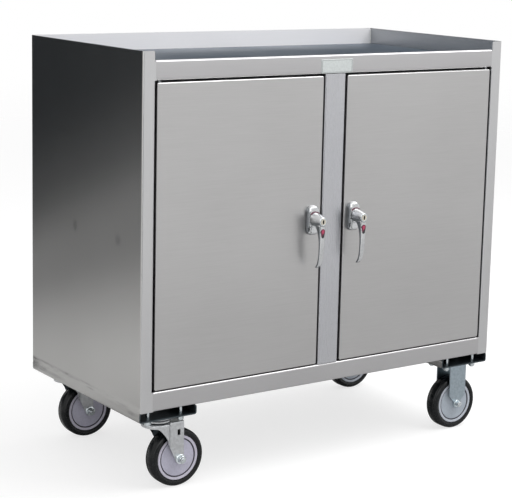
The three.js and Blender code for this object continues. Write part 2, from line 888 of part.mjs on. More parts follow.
// Swivel caster plate: the raceway is pressed down out of the plate
function swivelPlate() {
  const raceBottom = -plateThickness - raceHeight;
  const race = turnedAlongZ([
    [0, raceBottom],
    [raceRadius - 2 * raceEdge, raceBottom],
    [raceRadius - raceEdge / 2, raceBottom + raceEdge],
    [raceRadius, raceBottom + 2 * raceEdge],
    [raceRadius, -plateThickness / 2],
    [0, -plateThickness / 2],
  ], roundSides);
  const bore = barAlongZ(kingpinRadius + pinClearance, raceBottom - overrun, overrun, 0, 0);
  return boltedPlate().add(race).subtract(bore);
}

const ringTop = -plateThickness - raceHeight - seam;
const yokeTop = ringTop - ballRingHeight - seam;

function ballRing() {
  const bottom = ringTop - ballRingHeight;
  const middle = bottom + ballRingHeight / 2;
  return turnedAlongZ([
    [ballRingInnerRadius, bottom],
    [ballRingRadius - ballRingHeight / 2, bottom],
    [ballRingRadius, middle],
    [ballRingRadius - ballRingHeight / 2, ringTop],
    [ballRingInnerRadius, ringTop],
    [ballRingInnerRadius, bottom],
  ], roundSides);
}

function kingpin() {
  const headTop = yokeTop - forkSheet - seam;
  return turnedAlongZ([
    [0, headTop - kingpinHeadHeight],
    [kingpinHeadRadius - kingpinRadius / 2, headTop - kingpinHeadHeight],
    [kingpinHeadRadius, headTop - kingpinHeadHeight / 2],
    [kingpinHeadRadius, headTop],
    [kingpinRadius, headTop],
    [kingpinRadius, -seam],
    [0, -seam],
  ], pinSides);
}

// Plan of the swivel yoke: round over the kingpin, flaring from the flat legs that hold the wheel
function yokePlan(radius, halfWidth, end) {
  const meetShare = 1.25;
  const meet = Math.acos(yokeCrease / yokeRadius) * meetShare;
  return [
    new THREE.Vector2(end, -halfWidth),
    new THREE.Vector2(end, halfWidth),
    new THREE.Vector2(yokeCrease, halfWidth),
    ...arcPoints(0, 0, radius, meet, 2 * Math.PI - meet, 4 * cornerSteps),
    new THREE.Vector2(yokeCrease, -halfWidth),
  ];
}

// What is left of the yoke seen from the side: a skirt all round and two raked legs
function yokeSide() {
  const end = swivelTrail + forkEndReach;
  const skirtBottom = yokeTop - yokeSkirt;
  const rake = Math.atan2(axleDrop + skirtBottom, swivelTrail - forkFootRadius - yokeLeadTop);
  const footStart = Math.PI + rake / 2;
  const footEnd = 2 * Math.PI - Math.acos(forkEndReach / forkFootRadius);
  return [
    new THREE.Vector2(end, yokeTop + overrun),
    new THREE.Vector2(-yokeRadius - overrun, yokeTop + overrun),
    new THREE.Vector2(-yokeRadius - overrun, skirtBottom),
    new THREE.Vector2(yokeLeadTop, skirtBottom),
    ...arcPoints(swivelTrail, -axleDrop, forkFootRadius, footStart, footEnd, 2 * cornerSteps),
  ];
}

function swivelYoke() {
  const end = swivelTrail + forkEndReach;
  const foot = -axleDrop - forkFootRadius;
  const plan = yokePlan(yokeRadius, forkHalfWidth, end + overrun);
  const outer = roundedTopPrism(plan, foot, yokeTop, yokeEdgeRadius);
  const innerPlan = yokePlan(yokeRadius - forkSheet, forkHalfWidth - forkSheet, end + 2 * overrun);
  const inner = prismAlongZ(innerPlan, foot - overrun, yokeTop - forkSheet);
  const span = forkHalfWidth + yokeRadius;
  const shell = outer.subtract(inner).intersect(prismAlongY(yokeSide(), -span, span));
  const slotTop = yokeTop - legSlotDrop;
  const slot = block(swivelTrail - legSlotWidth, swivelTrail, -span, span, slotTop - legSlotHeight, slotTop);
  const pinSpan = [yokeTop - forkSheet - overrun, yokeTop + overrun];
  const pinHole = barAlongZ(kingpinRadius + pinClearance, ...pinSpan, 0, 0);
  const axleHole = barAlongY(axleRadius + pinClearance, -span, span, swivelTrail, -axleDrop);
  return cutBy(shell, [slot, pinHole, axleHole]);
}

// Rigid caster: the fork is a folded strap with tapered legs, welded under its plate
function rigidFork() {
  const foot = -axleDrop - forkFootRadius;
  const top = -plateThickness;
  const strap = foldedSection(
    [
      [-forkHalfWidth, foot],
      [-forkHalfWidth, top],
      [forkHalfWidth, top],
      [forkHalfWidth, foot],
    ],
    forkSheet,
    rigidForkBend - forkSheet,
  );
  const half = rigidForkWidth / 2;
  const footStart = Math.PI + Math.PI / 8;
  const footEnd = 2 * Math.PI - Math.PI / 8;
  const side = [
    new THREE.Vector2(half, top + overrun),
    new THREE.Vector2(-half, top + overrun),
    new THREE.Vector2(-half, foot + rigidTaperStart),
    ...arcPoints(0, -axleDrop, forkFootRadius, footStart, footEnd, 2 * cornerSteps),
    new THREE.Vector2(half, foot + rigidTaperStart),
  ];
  const span = forkHalfWidth + overrun;
  const legs = prismAlongX(strap, -half, half).intersect(prismAlongY(side, -span, span));
  const axleHole = barAlongY(axleRadius + pinClearance, -span, span, 0, -axleDrop);
  return boltedPlate().add(legs).subtract(axleHole);
}

// Wheel parts, about the axle
function wheelHub() {
  const half = hubWidth / 2;
  const face = half - hubDish;
  const bossEnd = forkHalfWidth - forkSheet - seam;
  const rimInner = hubRadius - hubRimWidth;
  const grooveInner = rimInner - hubGrooveWidth;
  const side = [
    [axleRadius + pinClearance, bossEnd],
    [hubBossRadius, bossEnd],
    [hubBossRadius, face],
    [grooveInner, face],
    [rimInner - hubGrooveWidth / 2, face - hubGrooveDepth],
    [rimInner, half],
    [hubRadius, half],
  ];
  const otherSide = side.map(([radius, place]) => [radius, -place]);
  return turnedAlongY([...otherSide, ...side.reverse(), otherSide[0]], wheelSides);
}

function wheelTire() {
  const half = tireWidth / 2;
  const bore = hubRadius + seam;
  const lip = hubWidth / 2;
  const centre = half - tireShoulder;
  const shoulder = arcPoints(wheelRadius - tireShoulder, centre, tireShoulder, Math.PI / 2, 0, bendSteps);
  const side = [[bore, lip], ...shoulder.map((point) => [point.x, point.y])];
  const otherSide = side.map(([radius, place]) => [radius, -place]);
  return turnedAlongY([...otherSide, ...side.reverse(), otherSide[0]], wheelSides);
}

function axleBolt() {
  const headStart = forkHalfWidth + seam;
  const nutEnd = headStart + axleWasherHeight + axleNutHeight;
  const shank = barAlongY(axleRadius, -nutEnd - axleTail, headStart + axleHeadHeight, 0, 0, pinSides);
  return shank.add(barAlongY(axleHeadRadius, headStart, headStart + axleHeadHeight, 0, 0, hexSides));
}

function axleNut() {
  const start = -forkHalfWidth - seam;
  const washer = barAlongY(axleWasherRadius, start - axleWasherHeight, start, 0, 0);
  const nut = barAlongY(axleHeadRadius, start - axleWasherHeight - axleNutHeight, start, 0, 0, hexSides);
  return washer.add(nut).subtract(barAlongY(axleRadius + pinClearance, -forkHalfWidth * 2, 0, 0, 0));
}

function wheelGroup(name, x) {
  const group = groupAt(x, 0, -axleDrop);
  group.add(part(`${name}_hub`, wheelHub(), hubPlastic()));
  group.add(part(`${name}_tire`, wheelTire(), blackRubber()));
  group.add(part(`${name}_axle_bolt`, axleBolt(), zincPlate()));
  group.add(part(`${name}_axle_nut`, axleNut(), zincPlate()));
  return group;
}

function swivelCaster(name) {
  return [
    part(`${name}_caster_plate`, swivelPlate(), zincPlate()),
    part(`${name}_ball_ring`, ballRing(), darkSteel()),
    part(`${name}_kingpin`, kingpin(), zincPlate()),
    part(`${name}_yoke`, swivelYoke(), zincPlate()),
    wheelGroup(name, swivelTrail),
  ];
}

function rigidCaster(name) {
  return [part(`${name}_fork`, rigidFork(), zincPlate()), wheelGroup(name, 0)];
}

// The cabinet stands in its own group, measured from the lower front left corner of its sides
const cabinet = groupAt(0, 0, carcassBottom);

function addCarcass() {
  const left = part('left_side_panel', sidePanel(), brushedSteel());
  const right = new THREE.Mesh(mirroredInX(left.geometry), brushedSteel());
  right.name = 'right_side_panel';
  right.position.x = cabinetWidth;
  const post = part('centre_post', centrePost(), brushedSteel());
  post.position.x = cabinetWidth / 2;
  const leftCleat = part('left_shelf_cleat', shelfCleat(), brushedSteel());
  const rightCleat = new THREE.Mesh(mirroredInX(leftCleat.geometry), brushedSteel());
  rightCleat.name = 'right_shelf_cleat';
  rightCleat.position.x = cabinetWidth;
  const pieces = [
    left,
    right,
    part('back_panel', backPanel(), brushedSteel()),
    part('work_top', workTop(), brushedSteel()),
    part('bottom_rail', bottomRail(), brushedSteel()),
    part('cabinet_floor', cabinetFloor(), brushedSteel()),
    post,
    part('middle_shelf', middleShelf(), brushedSteel()),
    leftCleat,
    rightCleat,
  ];
  pieces.forEach((piece) => cabinet.add(piece));
}

function addCasters() {
  const sides = [
    { side: 'left', centre: channelCentre, build: swivelCaster },
    { side: 'right', centre: cabinetWidth - channelCentre, build: rigidCaster },
  ];
  sides.forEach(({ side, centre, build }) => {
    const channel = part(`${side}_caster_channel`, casterChannel(), brushedSteel());
    channel.position.set(centre, channelEndInset, 0);
    cabinet.add(channel);
    ['front', 'rear'].forEach((end, row) => {
      cabinet.add(groupAt(centre, casterRows[row], -channelHeight - seam, build(`${end}_${side}`)));
    });
  });
}

// Pieces of a door are drawn for the left one, and mirrored in the pivot for the right one
function addDoor(side) {
  const isLeft = side === 'left';
  const pivot = isLeft ? pivotX : cabinetWidth - pivotX;
  const sided = (name, solid, material) => {
    const mesh = part(`${side}_${name}`, solid, material);
    if (!isLeft) {
      mesh.geometry = mirroredInX(mesh.geometry);
    }
    return mesh;
  };
  const bracket = hingeBracket();
  const door = groupAt(pivot, pivotDepth, doorBottom, [
    sided('door_panel', doorPanel(), brushedSteel()),
    sided('door_stiffener', doorStiffener(), brushedSteel()),
    sided('lower_hinge_bracket', bracket, darkSteel()),
    sided('upper_hinge_bracket', turnedOver(bracket, doorHeight), darkSteel()),
  ]);
  const toHandle = isLeft ? handleX - pivotX : pivotX - handleX;
  const handle = groupAt(toHandle, -pivotDepth, handleHeight - doorBottom, [
    part(`${side}_handle_base`, handleBase(), castBright()),
    part(`${side}_handle_lever`, handleLever(), castBright()),
    part(`${side}_lock_plug`, lockPlug(), lockBrass()),
    part(`${side}_latch_cam`, latchCam(), zincPlate()),
    part(`${side}_spindle_nut`, spindleNut(), zincPlate()),
  ]);
  door.add(handle);
  const lowerPin = part(`${side}_lower_hinge_pin`, hingePin(sheet, doorBottomGap), darkSteel());
  const upperPin = part(`${side}_upper_hinge_pin`, turnedOver(hingePin(sheet, doorTopGap), 0), darkSteel());
  lowerPin.position.set(pivot, pivotDepth, doorBottom);
  upperPin.position.set(pivot, pivotDepth, doorTop);
  cabinet.add(door, lowerPin, upperPin);
}

addCarcass();
addCasters();
addDoor('left');
addDoor('right');

// The origin is under the middle of the outline, which runs from the lock plugs to the back
const frontReach = leverReach + lockPlugProud;
cabinet.position.x = -cabinetWidth / 2;
cabinet.position.y = (frontReach - cabinetDepth) / 2;

const workbench = new THREE.Group();
workbench.add(cabinet);

export default workbench;
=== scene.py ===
import json
import math

import bmesh
import bpy
from mathutils import Matrix, Vector


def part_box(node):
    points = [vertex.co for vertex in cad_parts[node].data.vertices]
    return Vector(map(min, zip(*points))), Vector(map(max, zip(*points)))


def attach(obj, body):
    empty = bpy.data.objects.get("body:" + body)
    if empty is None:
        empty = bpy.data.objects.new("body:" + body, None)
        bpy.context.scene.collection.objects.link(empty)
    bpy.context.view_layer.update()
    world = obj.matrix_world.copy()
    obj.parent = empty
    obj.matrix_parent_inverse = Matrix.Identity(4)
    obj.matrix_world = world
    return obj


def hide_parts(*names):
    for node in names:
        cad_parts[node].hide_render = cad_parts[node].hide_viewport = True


# Mobile workbench in stainless sheet. Metres, +Z up, the front towards -Y, the floor at z = 0.
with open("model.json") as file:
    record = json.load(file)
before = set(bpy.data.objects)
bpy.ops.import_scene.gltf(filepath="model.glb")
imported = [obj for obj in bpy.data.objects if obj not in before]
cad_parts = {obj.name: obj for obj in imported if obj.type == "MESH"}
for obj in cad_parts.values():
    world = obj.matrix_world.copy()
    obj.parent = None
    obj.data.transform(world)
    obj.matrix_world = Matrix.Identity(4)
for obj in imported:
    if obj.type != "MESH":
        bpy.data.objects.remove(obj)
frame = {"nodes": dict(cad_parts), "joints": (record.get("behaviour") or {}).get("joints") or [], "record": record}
scene = bpy.context.scene
SIDES = ("left", "right")
SIGNED_SIDES = (("left", -1), ("right", 1))
ENDS = ("front", "rear")
CORNERS = [(end, side) for end in ENDS for side in SIDES]


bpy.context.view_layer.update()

# Photograph's camera: image sizes in pixels, place in metres
PHOTO_WIDTH = 512
PHOTO_HEIGHT = 498
FOCAL_PIXELS = 1582.0
IMAGE_CENTRE_X = 273.5
IMAGE_CENTRE_Y = 213.8
SENSOR_WIDTH = 36.0
CAMERA_PLACE = Vector((-1.9725, -2.7762, 1.1101))
CAMERA_YAW = math.radians(35.41)
CAMERA_PITCH = math.radians(10.14)
CAMERA_ROLL = math.radians(1.37)


def add_camera():
    level = math.cos(CAMERA_PITCH)
    forward = Vector((
        math.sin(CAMERA_YAW) * level,
        math.cos(CAMERA_YAW) * level,
        -math.sin(CAMERA_PITCH),
    ))
    level_right = Vector((math.cos(CAMERA_YAW), -math.sin(CAMERA_YAW), 0.0))
    level_up = level_right.cross(forward)
    right = level_right * math.cos(CAMERA_ROLL) + level_up * math.sin(CAMERA_ROLL)
    up = level_up * math.cos(CAMERA_ROLL) - level_right * math.sin(CAMERA_ROLL)
    data = bpy.data.cameras.new("photo_camera")
    data.sensor_fit = "HORIZONTAL"
    data.sensor_width = SENSOR_WIDTH
    data.lens = FOCAL_PIXELS * SENSOR_WIDTH / PHOTO_WIDTH
    data.shift_x = (PHOTO_WIDTH / 2 - IMAGE_CENTRE_X) / PHOTO_WIDTH
    data.shift_y = (IMAGE_CENTRE_Y - PHOTO_HEIGHT / 2) / PHOTO_WIDTH
    camera = bpy.data.objects.new("photo_camera", data)
    camera.matrix_world = Matrix((right, up, -forward)).transposed().to_4x4()
    camera.location = CAMERA_PLACE
    scene.collection.objects.link(camera)
    scene.camera = camera


# Node trees: small helpers that set inputs by value or by link
def node(tree, kind, inputs=None, **settings):
    made = tree.nodes.new(kind)
    for key, value in settings.items():
        setattr(made, key, value)
    for key, value in (inputs or {}).items():
        if isinstance(value, bpy.types.NodeSocket):
            tree.links.new(value, made.inputs[key])
        else:
            made.inputs[key].default_value = value
    return made


def calculated(tree, operation, first, second=0.0, clamp=False):
    made = node(tree, "ShaderNodeMath", {0: first, 1: second}, operation=operation, use_clamp=clamp)
    return made.outputs[0]


def raised(tree, base, mask, share):
    """A value with a share of a mask added to it."""
    return calculated(tree, "ADD", calculated(tree, "MULTIPLY", mask, share), base)


def mixed_colour(tree, factor, first, second):
    return node(tree, "ShaderNodeMix", {0: factor, 6: first, 7: second}, data_type="RGBA").outputs[2]


def ranged(tree, value, low, high, to_low=0.0, to_high=1.0):
    names = {"Value": value, "From Min": low, "From Max": high, "To Min": to_low, "To Max": to_high}
    return node(tree, "ShaderNodeMapRange", names, interpolation_type="SMOOTHSTEP").outputs[0]


def vector_math(tree, operation, *inputs):
    """The vector that an operation gives, or the number where it gives one."""
    outputs = node(tree, "ShaderNodeVectorMath", dict(enumerate(inputs)), operation=operation).outputs
    return outputs["Value"] if operation in ("LENGTH", "DISTANCE") else outputs[0]


def noise(tree, place, scale, detail, roughness=0.5, distortion=0.0):
    names = {"Vector": place, "Scale": scale, "Detail": detail, "Roughness": roughness,
             "Distortion": distortion}
    return node(tree, "ShaderNodeTexNoise", names).outputs[0]


def height_of(tree, place):
    return node(tree, "ShaderNodeSeparateXYZ", {0: place}).outputs[2]


def grey(tone):
    return (tone, tone, tone, 1.0)


def shader_group(name, inputs, outputs, build):
    tree = bpy.data.node_groups.new(name, "ShaderNodeTree")
    for label, kind, default in inputs:
        socket = tree.interface.new_socket(name=label, in_out="INPUT", socket_type=kind)
        socket.default_value = default
    for label, kind in outputs:
        tree.interface.new_socket(name=label, in_out="OUTPUT", socket_type=kind)
    start = tree.nodes.new("NodeGroupInput")
    end = tree.nodes.new("NodeGroupOutput")
    for label, socket in build(tree, start.outputs).items():
        tree.links.new(socket, end.inputs[label])
    return tree


VECTOR = "NodeSocketVector"
FLOAT = "NodeSocketFloat"
ORIGIN = (0.0, 0.0, 0.0)
# Most of a noise lies between these two values
NOISE_LOW = 0.3
NOISE_HIGH = 0.7
# Coarser lines in the brushed sheet, against the fine ones
COARSE_SCALE = 0.17
COARSE_SHARE = 0.15


# Rolled and brushed sheet: fine lines drawn out along the grain, and slow waves left by forming
def build_sheet_grain(tree, given):
    drawn = vector_math(tree, "MULTIPLY", given["Vector"], given["Lines"])
    wider = node(tree, "ShaderNodeVectorMath", {0: drawn, "Scale": COARSE_SCALE}, operation="SCALE")
    fine = noise(tree, drawn, scale=1.0, detail=3.0, roughness=0.65)
    coarse = noise(tree, wider.outputs[0], scale=1.0, detail=2.0)
    fine_part = calculated(tree, "MULTIPLY", fine, 1.0 - COARSE_SHARE)
    streaks = raised(tree, fine_part, coarse, COARSE_SHARE)
    waves = noise(tree, given["Vector"], given["Waves"], detail=1.0)
    return {"Streaks": ranged(tree, streaks, NOISE_LOW, NOISE_HIGH), "Height": streaks, "Waves": waves}


SHEET_GRAIN = shader_group(
    "sheet_grain",
    [("Vector", VECTOR, ORIGIN), ("Lines", VECTOR, (10, 900, 900)), ("Waves", FLOAT, 4.0)],
    [("Streaks", FLOAT), ("Height", FLOAT), ("Waves", FLOAT)],
    build_sheet_grain,
)


def masked(tree, first, second, amount):
    """What two masks share, times an amount."""
    both = calculated(tree, "MULTIPLY", first, second)
    return {"Mask": calculated(tree, "MULTIPLY", both, amount, clamp=True)}


# Finger marks and wiped patches: soft blotches broken up by finer smears, each between two levels
SMEAR_FINENESS = 9.0
BLOTCH_LEVELS = (0.52, 0.72)
SMEAR_LEVELS = (0.35, 0.75)


def build_handling_marks(tree, given):
    finer = calculated(tree, "MULTIPLY", given["Scale"], SMEAR_FINENESS)
    blotches = noise(tree, given["Vector"], given["Scale"], detail=4.0, distortion=0.6)
    smears = noise(tree, given["Vector"], finer, detail=6.0, distortion=2.0)
    blotches = ranged(tree, blotches, *BLOTCH_LEVELS)
    return masked(tree, blotches, ranged(tree, smears, *SMEAR_LEVELS), given["Amount"])


HANDLING_MARKS = shader_group(
    "handling_marks",
    [("Vector", VECTOR, ORIGIN), ("Scale", FLOAT, 5.0), ("Amount", FLOAT, 0.5)],
    [("Mask", FLOAT)],
    build_handling_marks,
)


# Dust and scuffs: patches that thin out with height above the floor
SPECK_LEVELS = (0.42, 0.7)


def build_floor_dust(tree, given):
    low = ranged(tree, height_of(tree, given["Vector"]), given["Reach"], 0.0)
    specks = noise(tree, given["Vector"], given["Scale"], detail=8.0, roughness=0.7)
    return masked(tree, low, ranged(tree, specks, *SPECK_LEVELS), given["Amount"])


FLOOR_DUST = shader_group(
    "floor_dust",
    [("Vector", VECTOR, ORIGIN), ("Reach", FLOAT, 0.16), ("Scale", FLOAT, 160.0), ("Amount", FLOAT, 0.5)],
    [("Mask", FLOAT)],
    build_floor_dust,
)


def new_material(name):
    material = bpy.data.materials.new(name)
    material.use_nodes = True
    tree = material.node_tree
    shader = tree.nodes["Principled BSDF"]
    place = node(tree, "ShaderNodeTexCoord").outputs["Object"]
    return material, tree, shader, place


def grouped(tree, group, inputs):
    return node(tree, "ShaderNodeGroup", inputs, node_tree=group).outputs


def two_tones(colour, contrast):
    """The darker and the lighter shade on either side of a colour."""
    dark = tuple(channel * (1.0 - contrast) for channel in colour) + (1.0,)
    light = tuple(min(channel * (1.0 + contrast), 1.0) for channel in colour) + (1.0,)
    return dark, light


def bumped(tree, height, distance, strength=1.0, under=None):
    names = {"Height": height, "Distance": distance, "Strength": strength}
    if under is not None:
        names["Normal"] = under
    return node(tree, "ShaderNodeBump", names).outputs[0]


def fed(tree, shader, colour, roughness, normal):
    """Links what changes over the surface to the shader."""
    for name, value in (("Base Color", colour), ("Roughness", roughness), ("Normal", normal)):
        tree.links.new(value, shader.inputs[name])


# Dark spots on the left side, each its place, its half width and half height, and how dark it is
SIDE_SPOTS = (
    ((-0.457, 0.056, 0.507), 0.013, 0.016, 0.5),
    ((-0.457, -0.121, 0.506), 0.015, 0.016, 0.35),
    ((-0.457, 0.252, 0.170), 0.048, 0.016, 1.0),
    ((-0.457, 0.205, 0.167), 0.040, 0.007, 0.6),
    ((-0.457, 0.150, 0.166), 0.060, 0.005, 0.35),
    ((-0.457, -0.010, 0.177), 0.022, 0.0025, 0.5),
    ((-0.457, 0.050, 0.181), 0.020, 0.002, 0.3),
    ((-0.457, -0.140, 0.177), 0.030, 0.0035, 0.35),
    ((-0.457, -0.178, 0.168), 0.022, 0.005, 0.4),
)
# Share of its half width where a spot ends and where it is full, its tone, and how ragged it is
SPOT_EDGE = 1.1
SPOT_CORE = 0.2
SPOT_TONE = 0.16
SPOT_LEVELS = (0.2, 0.55)


def spot_mask(tree, place, spots):
    mask = 0.0
    for centre, half_width, half_height, amount in spots:
        away = vector_math(tree, "SUBTRACT", place, centre)
        sized = vector_math(tree, "MULTIPLY", away, (1 / half_width, 1 / half_width, 1 / half_height))
        spot = ranged(tree, vector_math(tree, "LENGTH", sized), SPOT_EDGE, SPOT_CORE, 0.0, amount)
        mask = calculated(tree, "MAXIMUM", spot, mask)
    ragged = noise(tree, place, scale=260.0, detail=3.0)
    return calculated(tree, "MULTIPLY", mask, ranged(tree, ragged, *SPOT_LEVELS))


# Ripples in the side: middle of the weld seam, how far they reach above and below it, and where they are full
RIPPLE_MIDDLE = 0.176
RIPPLE_REACH = 0.012
RIPPLE_FULL = 0.0024
RIPPLE_LINES = (1.0, 26.0, 70.0)
RIPPLE_DEPTH = 0.0015


def edge_ripples(tree, place, under):
    """Sheet drawn by the heat of the welds: short waves that die out above and below the seam."""
    waves = noise(tree, vector_math(tree, "MULTIPLY", place, RIPPLE_LINES), scale=1.0, detail=1.5)
    away = calculated(tree, "ABSOLUTE", calculated(tree, "SUBTRACT", height_of(tree, place), RIPPLE_MIDDLE))
    rise = calculated(tree, "MULTIPLY", waves, ranged(tree, away, RIPPLE_REACH, RIPPLE_FULL))
    return bumped(tree, rise, RIPPLE_DEPTH, under=under)


# Sheet: its cloudiness, its finger marks, the painted highlight band above a level, and its brushed lines
CLOUD_SHARE = 0.12
CLOUD_TONE = 0.6
SMUDGE_SHARE = 0.25
SMUDGE_TONE = 0.62
SMUDGE_ROUGHNESS = 0.14
STREAK_ROUGHNESS = 0.03
HIGHLIGHT_FADE = 0.0008
HIGHLIGHT_TONE = 0.95
GRAIN_DEPTH = 0.000012
GRAIN_STRENGTH = 0.2


def sheet_steel(name, colour, lines, roughness, contrast=0.03, marks=0.35, marks_scale=5.0,
                waviness=0.0004, metallic=1.0, spots=(), rippled=False, highlight_above=None):
    """Brushed sheet; lines stretch its grain, and above the height highlight_above it takes a painted highlight.
    """
    material, tree, shader, place = new_material(name)
    grain = grouped(tree, SHEET_GRAIN, {"Vector": place, "Lines": lines})
    smudge = grouped(tree, HANDLING_MARKS, {"Vector": place, "Scale": marks_scale, "Amount": marks})["Mask"]
    tone = mixed_colour(tree, grain["Streaks"], *two_tones(colour, contrast))
    cloud = ranged(tree, grain["Waves"], NOISE_LOW, NOISE_HIGH, 0.0, CLOUD_SHARE)
    tone = mixed_colour(tree, cloud, tone, grey(CLOUD_TONE))
    tone = mixed_colour(tree, calculated(tree, "MULTIPLY", smudge, SMUDGE_SHARE), tone, grey(SMUDGE_TONE))
    if spots:
        tone = mixed_colour(tree, spot_mask(tree, place, spots), tone, grey(SPOT_TONE))
    # Painted highlight: a bright band above a level, for the light along the top edge of a door
    if highlight_above:
        above = ranged(tree, height_of(tree, place), highlight_above, highlight_above + HIGHLIGHT_FADE)
        tone = mixed_colour(tree, above, tone, grey(HIGHLIGHT_TONE))
    rough = raised(tree, roughness - STREAK_ROUGHNESS / 2, grain["Streaks"], STREAK_ROUGHNESS)
    wavy = bumped(tree, grain["Waves"], waviness)
    if rippled:
        wavy = edge_ripples(tree, place, wavy)
    fed(tree, shader, tone, raised(tree, rough, smudge, SMUDGE_ROUGHNESS),
        bumped(tree, grain["Height"], GRAIN_DEPTH, GRAIN_STRENGTH, wavy))
    shader.inputs["Metallic"].default_value = metallic
    return material


# Smooth metal: size, share and roughness of its finger marks, and tone and roughness of its dust
METAL_MARKS = {"Scale": 40.0, "Amount": 0.6}
METAL_MARK_ROUGHNESS = 0.18
METAL_DUST = (0.3, 0.29, 0.27, 1.0)
METAL_DUST_ROUGHNESS = 0.3
PIT_STRENGTH = 0.6


def smooth_metal(name, colour, roughness, mottle=0.12, scale=220.0, pits=0.00005, dust=0.0):
    material, tree, shader, place = new_material(name)
    cloud = noise(tree, place, scale, detail=5.0)
    tone = mixed_colour(tree, ranged(tree, cloud, NOISE_LOW, NOISE_HIGH), *two_tones(colour, mottle))
    smudge = grouped(tree, HANDLING_MARKS, {"Vector": place, **METAL_MARKS})["Mask"]
    dusty = grouped(tree, FLOOR_DUST, {"Vector": place, "Amount": dust})["Mask"]
    rough = raised(tree, roughness, smudge, METAL_MARK_ROUGHNESS)
    fed(tree, shader, mixed_colour(tree, dusty, tone, METAL_DUST),
        raised(tree, rough, dusty, METAL_DUST_ROUGHNESS), bumped(tree, cloud, pits, PIT_STRENGTH))
    shader.inputs["Metallic"].default_value = 1.0
    return material


# Plastic, rubber and enamel: how high dust reaches, how much it covers, and what it adds to the roughness
DUST_REACH = 0.13
DUST_COVER = 0.5
DUST_ROUGHNESS = 0.25
GRIT_STRENGTH = 0.5


def moulded(name, colour, roughness, mottle=0.06, scale=300.0, grit=0.00006, dust=0.4, dust_tone=0.35):
    material, tree, shader, place = new_material(name)
    cloud = noise(tree, place, scale, detail=6.0)
    tone = mixed_colour(tree, ranged(tree, cloud, NOISE_LOW, NOISE_HIGH), *two_tones(colour, mottle))
    dusty = grouped(tree, FLOOR_DUST, {"Vector": place, "Amount": dust, "Reach": DUST_REACH})["Mask"]
    covered = calculated(tree, "MULTIPLY", dusty, DUST_COVER)
    fed(tree, shader, mixed_colour(tree, covered, tone, grey(dust_tone)),
        raised(tree, roughness, dusty, DUST_ROUGHNESS), bumped(tree, cloud, grit, GRIT_STRENGTH))
    return material


# Stretch of the brushed lines along each axis
ALONG_X = (14.0, 2000.0, 2000.0)
ALONG_Y = (2000.0, 14.0, 2000.0)
ALONG_Z = (2000.0, 2000.0, 14.0)
DOOR_LINES = (12.0, 700.0, 700.0)
# Doors take a painted highlight above this level, along their top edge
DOOR_HIGHLIGHT_ABOVE = 0.8196

SIDE_STEEL = sheet_steel("side_sheet", (0.445, 0.44, 0.43), ALONG_Z, 0.2, 0.02, marks=0.15, marks_scale=7.0,
                         spots=SIDE_SPOTS, rippled=True)
# Front flanges and ground welds: the side's steel made lighter where it faces the front, a painted light
FLANGE_PAINTED_LIGHT = sheet_steel("flange_painted_light_sheet", (0.545, 0.545, 0.552), ALONG_Z, 0.3, 0.015)
DOOR_STEEL = sheet_steel("door_sheet", (0.475, 0.47, 0.469), DOOR_LINES, 0.31, marks=0.15, marks_scale=6.0,
                         waviness=0.0006, highlight_above=DOOR_HIGHLIGHT_ABOVE)
FRAME_STEEL = sheet_steel("frame_sheet", (0.47, 0.465, 0.472), ALONG_X, 0.3, 0.015)
POST_STEEL = sheet_steel("post_sheet", (0.50, 0.505, 0.53), ALONG_Z, 0.28, 0.015)
# Tray of the work top: dark slate for the dark room it mirrors, a painted reflection
TRAY_PAINTED_REFLECTION = sheet_steel("tray_painted_dark_reflection", (0.045, 0.068, 0.098), ALONG_X, 0.42)
# Front face of the back panel: near white and only partly metal, a painted reflection of the bright room in front
LIP_PAINTED_LIGHT = sheet_steel("lip_painted_light", (0.80, 0.79, 0.805), ALONG_X, 0.4, 0.02, metallic=0.25)
# Inward faces of the side panels: the same sheet darker, a painted shade of the cabinet's inside
SIDE_INNER_SHADE = sheet_steel("side_inner_painted_shade", (0.355, 0.37, 0.385), ALONG_Y, 0.25, 0.02)
INNER_STEEL = sheet_steel("inner_sheet", (0.4, 0.4, 0.4), ALONG_X, 0.4, 0.04)
# Inside and ends of the caster channels: near black, a painted shade of the hollow
CHANNEL_PAINTED_SHADE = smooth_metal("channel_painted_shade", (0.075, 0.09, 0.10), 0.5)
DARK_STEEL = smooth_metal("oiled_steel", (0.22, 0.23, 0.24), 0.42)
ZINC = smooth_metal("zinc_sheet", (0.535, 0.545, 0.56), 0.3, 0.1, 180.0, dust=0.35)
ZINC_BLUE = smooth_metal("zinc_blue_sheet", (0.345, 0.405, 0.45), 0.3, 0.1, 180.0, dust=0.35)
# Inner sides of the forks: the zinc near black, or dark blue on the rigid forks, a painted shade
ZINC_SHADE = smooth_metal("zinc_painted_shade_inside", (0.03, 0.035, 0.04), 0.5)
ZINC_SHADE_BLUE = smooth_metal("zinc_blue_painted_shade_inside", (0.11, 0.15, 0.17), 0.45)
BRIGHT_ZINC = smooth_metal("zinc_fasteners", (0.58, 0.62, 0.64), 0.18, 0.1, 400.0, dust=0.2)
COLLAR_ZINC = smooth_metal("zinc_collar", (0.80, 0.86, 0.88), 0.24, 0.08, 400.0, dust=0.1)
CAST_CHROME = smooth_metal("cast_chrome", (0.60, 0.61, 0.62), 0.16, 0.06, 260.0)
# Flanks and undersides of the castings: the chrome darker, a painted shade
CAST_PAINTED_SHADE = smooth_metal("cast_painted_shade", (0.27, 0.285, 0.30), 0.3, 0.15, 260.0)
LOCK_METAL = smooth_metal("lock_metal", (0.66, 0.62, 0.53), 0.3, 0.1, 500.0)
